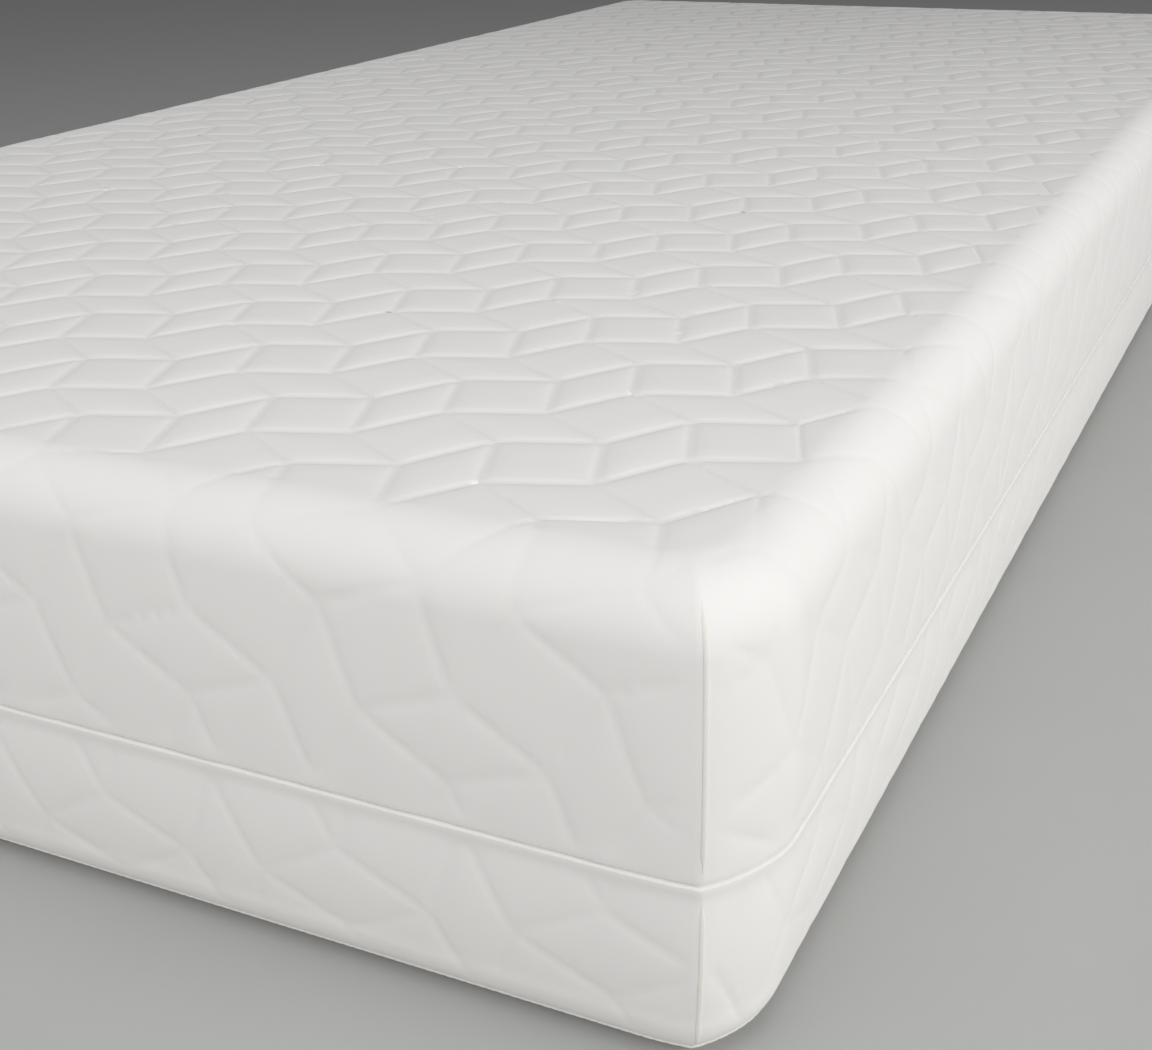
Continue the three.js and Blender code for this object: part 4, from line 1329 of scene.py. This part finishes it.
@dataclass
class Sleeve:
    """The knitted fire-barrier sleeve: a thin sock round the foam, with its mouth at the head end."""

    corner: float = 35 * MM
    edge: float = 20 * MM
    thickness: float = 0.9 * MM
    mouth_half_width: float = 0.380
    mouth: tuple[float, float] = (0.030, 0.180)

    def build(self) -> bpy.types.Object:
        """Makes the outer skin with its mouth left open, then gives it its thickness inwards."""
        low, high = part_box("fire_barrier_sleeve")
        plan = PlanGrid(high.x, high.y, self.corner, 14 * MM, 8)
        work = Patchwork()
        face = plan.face(self.corner - self.edge)
        slack = 0.5 * MM * (ripple(face[..., 0] * 2 + face[..., 1], (0.19, 0.31, 0.47, 0.09), 8) - 1)
        top = work.add(raised(face, high.z + slack), face)
        work.grid(top[::-1])
        centre, outward = plan.stations()
        bends = quarter(0, 90, 8)
        inset = [self.edge * (1 - math.sin(a)) for a in bends]
        level = [high.z - self.edge * (1 - math.cos(a)) for a in bends]
        straight = np.linspace(high.z - self.edge, low.z + self.edge, 19)[1:]
        straight[np.argmin(abs(straight - self.mouth[0]))] = self.mouth[0]
        straight[np.argmin(abs(straight - self.mouth[1]))] = self.mouth[1]
        inset += [0.0] * len(straight)
        level += list(straight)
        inset += [self.edge * (1 - math.cos(a)) for a in bends[:-1]]
        level += [low.z + self.edge * (1 - math.sin(a)) for a in bends[:-1]]
        inset, level = np.array(inset)[:, None, None], np.array(level)
        tuck = 0.5 * MM * (1 - ripple(centre @ [1.0, 1.0], (0.13, 0.21, 0.33), 9)) * 0.8
        place = centre + (self.corner - inset - tuck[None, :, None]) * outward
        outline = centre + self.corner * outward
        round_way = np.cumsum(np.linalg.norm(np.diff(outline, axis=0, prepend=0), axis=1))
        cloth = np.stack(np.broadcast_arrays(round_way[None], level[:, None]), axis=-1)
        wall = work.add(raised(place, level[:, None]), cloth)
        rows = np.concatenate([plan.loop(top)[None], wall])
        rows = np.concatenate([rows, rows[:, :1]], axis=1)
        across = np.append(outline[:, 0], centre[0, 0])
        at_head = np.append(outward[:, 1], outward[0, 1]) > 0.99
        open_across = at_head & (abs(across) < self.mouth_half_width)
        levels = np.append(high.z, level)
        open_up = (levels > self.mouth[0] - 0.1 * MM) & (levels < self.mouth[1])
        open_up[0] = False
        for row in range(len(rows) - 1):
            gap = open_across[:-1] & open_across[1:] & open_up[row] & open_up[row + 1]
            for cells in np.split(np.arange(len(gap)), np.nonzero(np.diff(gap))[0] + 1):
                if not gap[cells[0]]:
                    work.grid(rows[row:row + 2, cells[0]:cells[-1] + 2])
        under = plan.face(self.corner - self.edge)
        base = work.add(raised(under, low.z), under)
        work.grid(base)
        work.grid(np.stack([wall[-1], plan.loop(base)]), wrap=True)
        piece = finished(work.build("knitted_sleeve"), BARRIER, "base", "fire_barrier_sleeve")
        skin = piece.modifiers.new("thickness", "SOLIDIFY")
        skin.thickness, skin.offset = self.thickness, -1.0
        return piece


def foam_blocks() -> list[FoamBlock]:
    """The five foam blocks, with the topper's crossing cuts and the core's cuts under the heel and seat."""
    low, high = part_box("topper_foam")
    across = tuple(low.x + i * (high.x - low.x) / 7 for i in range(1, 7))
    along = tuple(low.y + i * (high.y - low.y) / 14 for i in range(1, 14))
    seat_and_heel = tuple(start + i * 0.070 + 0.004 for start in (-0.830, -0.140) for i in range(5))
    core_slots = Slots(along=seat_and_heel, width=8 * MM, depth=30 * MM)
    return [
        FoamBlock("topper_block", "topper_foam", VISCO, 33 * MM, 18 * MM, 1.5 * MM, Slots(across, along),
                  shrink=1.0 * MM),
        FoamBlock("core_block", "core_foam", RESILIENT, 6 * MM, 1.5 * MM, 1.5 * MM, core_slots, True),
        FoamBlock("bolster_block_right", "side_bolster_right", FIRM, 16 * MM, 1.5 * MM, 1.5 * MM),
        FoamBlock("bolster_block_left", "side_bolster_left", FIRM, 16 * MM, 1.5 * MM, 1.5 * MM),
        FoamBlock("base_block", "base_foam", FIRM, 33 * MM, 1.5 * MM, 18 * MM),
    ]


# ---- Studio -------------------------------------------------------------------------------------


@dataclass(frozen=True)
class Lamp:
    """One soft light: where it stands, what it faces, its side in metres and its watts."""

    name: str
    place: tuple[float, float, float]
    target: tuple[float, float, float]
    size: float
    power: float


LAMPS = (
    Lamp("window", (2.47, -2.42, 1.55), (0.2, -0.6, 0.1), 1.4, 36.0),
    Lamp("front", (-1.1, -2.9, 0.4), (-0.2, -0.9, 0.15), 1.4, 16.0),
    Lamp("right", (3.4, 0.2, 0.5), (0.4, 0.0, 0.1), 2.0, 44.0),
    Lamp("overhead", (0.2, -1.0, 2.4), (0.1, -0.6, 0.0), 2.0, 21.5),
)
AMBIENT = 0.2


@dataclass(frozen=True)
class Studio:
    """The floor, the soft lights and the camera."""

    place: tuple[float, float, float] = (0.6043, -1.4051, 0.4446)
    yaw: float = -0.4536
    pitch: float = 0.4059
    roll: float = -0.0191
    lens: float = 50.45

    def camera(self) -> None:
        """Sets the camera at its place, turned by yaw, then down by pitch, then by roll."""
        ahead = Vector((math.sin(self.yaw) * math.cos(self.pitch), math.cos(self.yaw) * math.cos(self.pitch),
                        -math.sin(self.pitch)))
        level = ahead.cross(Vector((0, 0, 1))).normalized()
        upright = level.cross(ahead)
        right = math.cos(self.roll) * level + math.sin(self.roll) * upright
        up = -math.sin(self.roll) * level + math.cos(self.roll) * upright
        data = bpy.data.cameras.new("camera")
        data.lens, data.sensor_width, data.clip_start = self.lens, 36.0, 0.05
        camera = bpy.data.objects.new("camera", data)
        axes = Matrix((right, up, -ahead)).transposed().to_4x4()
        camera.matrix_world = Matrix.Translation(self.place) @ axes
        bpy.context.scene.collection.objects.link(camera)
        bpy.context.scene.camera = camera

    def light(self, lamp: Lamp) -> None:
        """Adds one square soft light that faces its target."""
        data = bpy.data.lights.new(lamp.name, "AREA")
        data.shape, data.size, data.energy = "SQUARE", lamp.size, lamp.power
        lit = bpy.data.objects.new(lamp.name, data)
        lit.location = lamp.place
        lit.rotation_euler = (Vector(lamp.target) - Vector(lamp.place)).to_track_quat("-Z", "Y").to_euler()
        bpy.context.scene.collection.objects.link(lit)

    def build(self) -> None:
        """Makes the floor, the lights and the pale surroundings."""
        self.camera()
        for lamp in LAMPS:
            self.light(lamp)
        world = bpy.data.worlds.new("surroundings")
        world.use_nodes = True
        world.node_tree.nodes["Background"].inputs["Color"].default_value = (0.92, 0.93, 0.95, 1)
        world.node_tree.nodes["Background"].inputs["Strength"].default_value = AMBIENT
        bpy.context.scene.world = world
        bpy.context.scene.view_settings.view_transform = "Standard"
        work = Patchwork()
        side = np.array([-40.0, 40.0])
        x, y = np.meshgrid(side, side)
        work.grid(work.add(raised(np.stack([x, y], axis=-1), 0.0))[::-1])
        floor = work.build("floor")
        dress(floor, FLOOR)


# ---- Assembly -----------------------------------------------------------------------------------


def main() -> None:
    """Builds and dresses the mattress from the frame's sizes, piece by piece."""
    logging.basicConfig(level=logging.INFO, format="%(name)s: %(message)s")
    Studio().build()
    top_high, base_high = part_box("top_cover")[1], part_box("base_cover")[1]
    plan = PlanGrid(top_high.x, top_high.y, CORNER_RADIUS, 2.5 * MM)
    skirting = Skirting(plan)
    coil_low, coil_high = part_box("zip_coil_upper")
    zip_height = (coil_low.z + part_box("zip_coil_lower")[1].z) / 2
    shared = (plan, skirting, top_high.z, zip_height, top_high.x - base_high.x)
    upper, lower = UpperCover(*shared), LowerCover(*shared)
    upper.build()
    lower.build()
    trim = Trim(upper)
    trim.base_seam(6.8 * MM)
    upper_wall, lower_wall = upper.skirt_section(), lower.border_section()
    for corner in skirting.seams():
        trim.corner_seam(corner, upper_wall, "upper_cover", (zip_height + 5 * MM, top_high.z - 7 * MM))
        trim.corner_seam(corner, lower_wall, "base", (9 * MM, zip_height - 5 * MM))
    coil_inset = top_high.x - coil_high.x + (coil_high.z - coil_low.z) / 2
    for side in (1, -1):
        trim.coil(side, zip_height + side * 2.0 * MM, coil_inset)
        trim.tape(side, zip_height + side * 3.4 * MM, coil_inset)
    label_low, label_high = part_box("care_label")
    trim.label(label_low, label_high, -1.3 * MM)
    tab_low, tab_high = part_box("zip_slider")
    hardware = ZipHardware(-top_high.x, (tab_low.y + tab_high.y) / 2, zip_height)
    hardware.slider()
    hardware.pull_tab()
    hardware.stops(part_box("zip_stop_upper")[0].y, coil_inset)
    Sleeve().build()
    for block in foam_blocks():
        block.build()


if __name__ == "__main__":
    main()
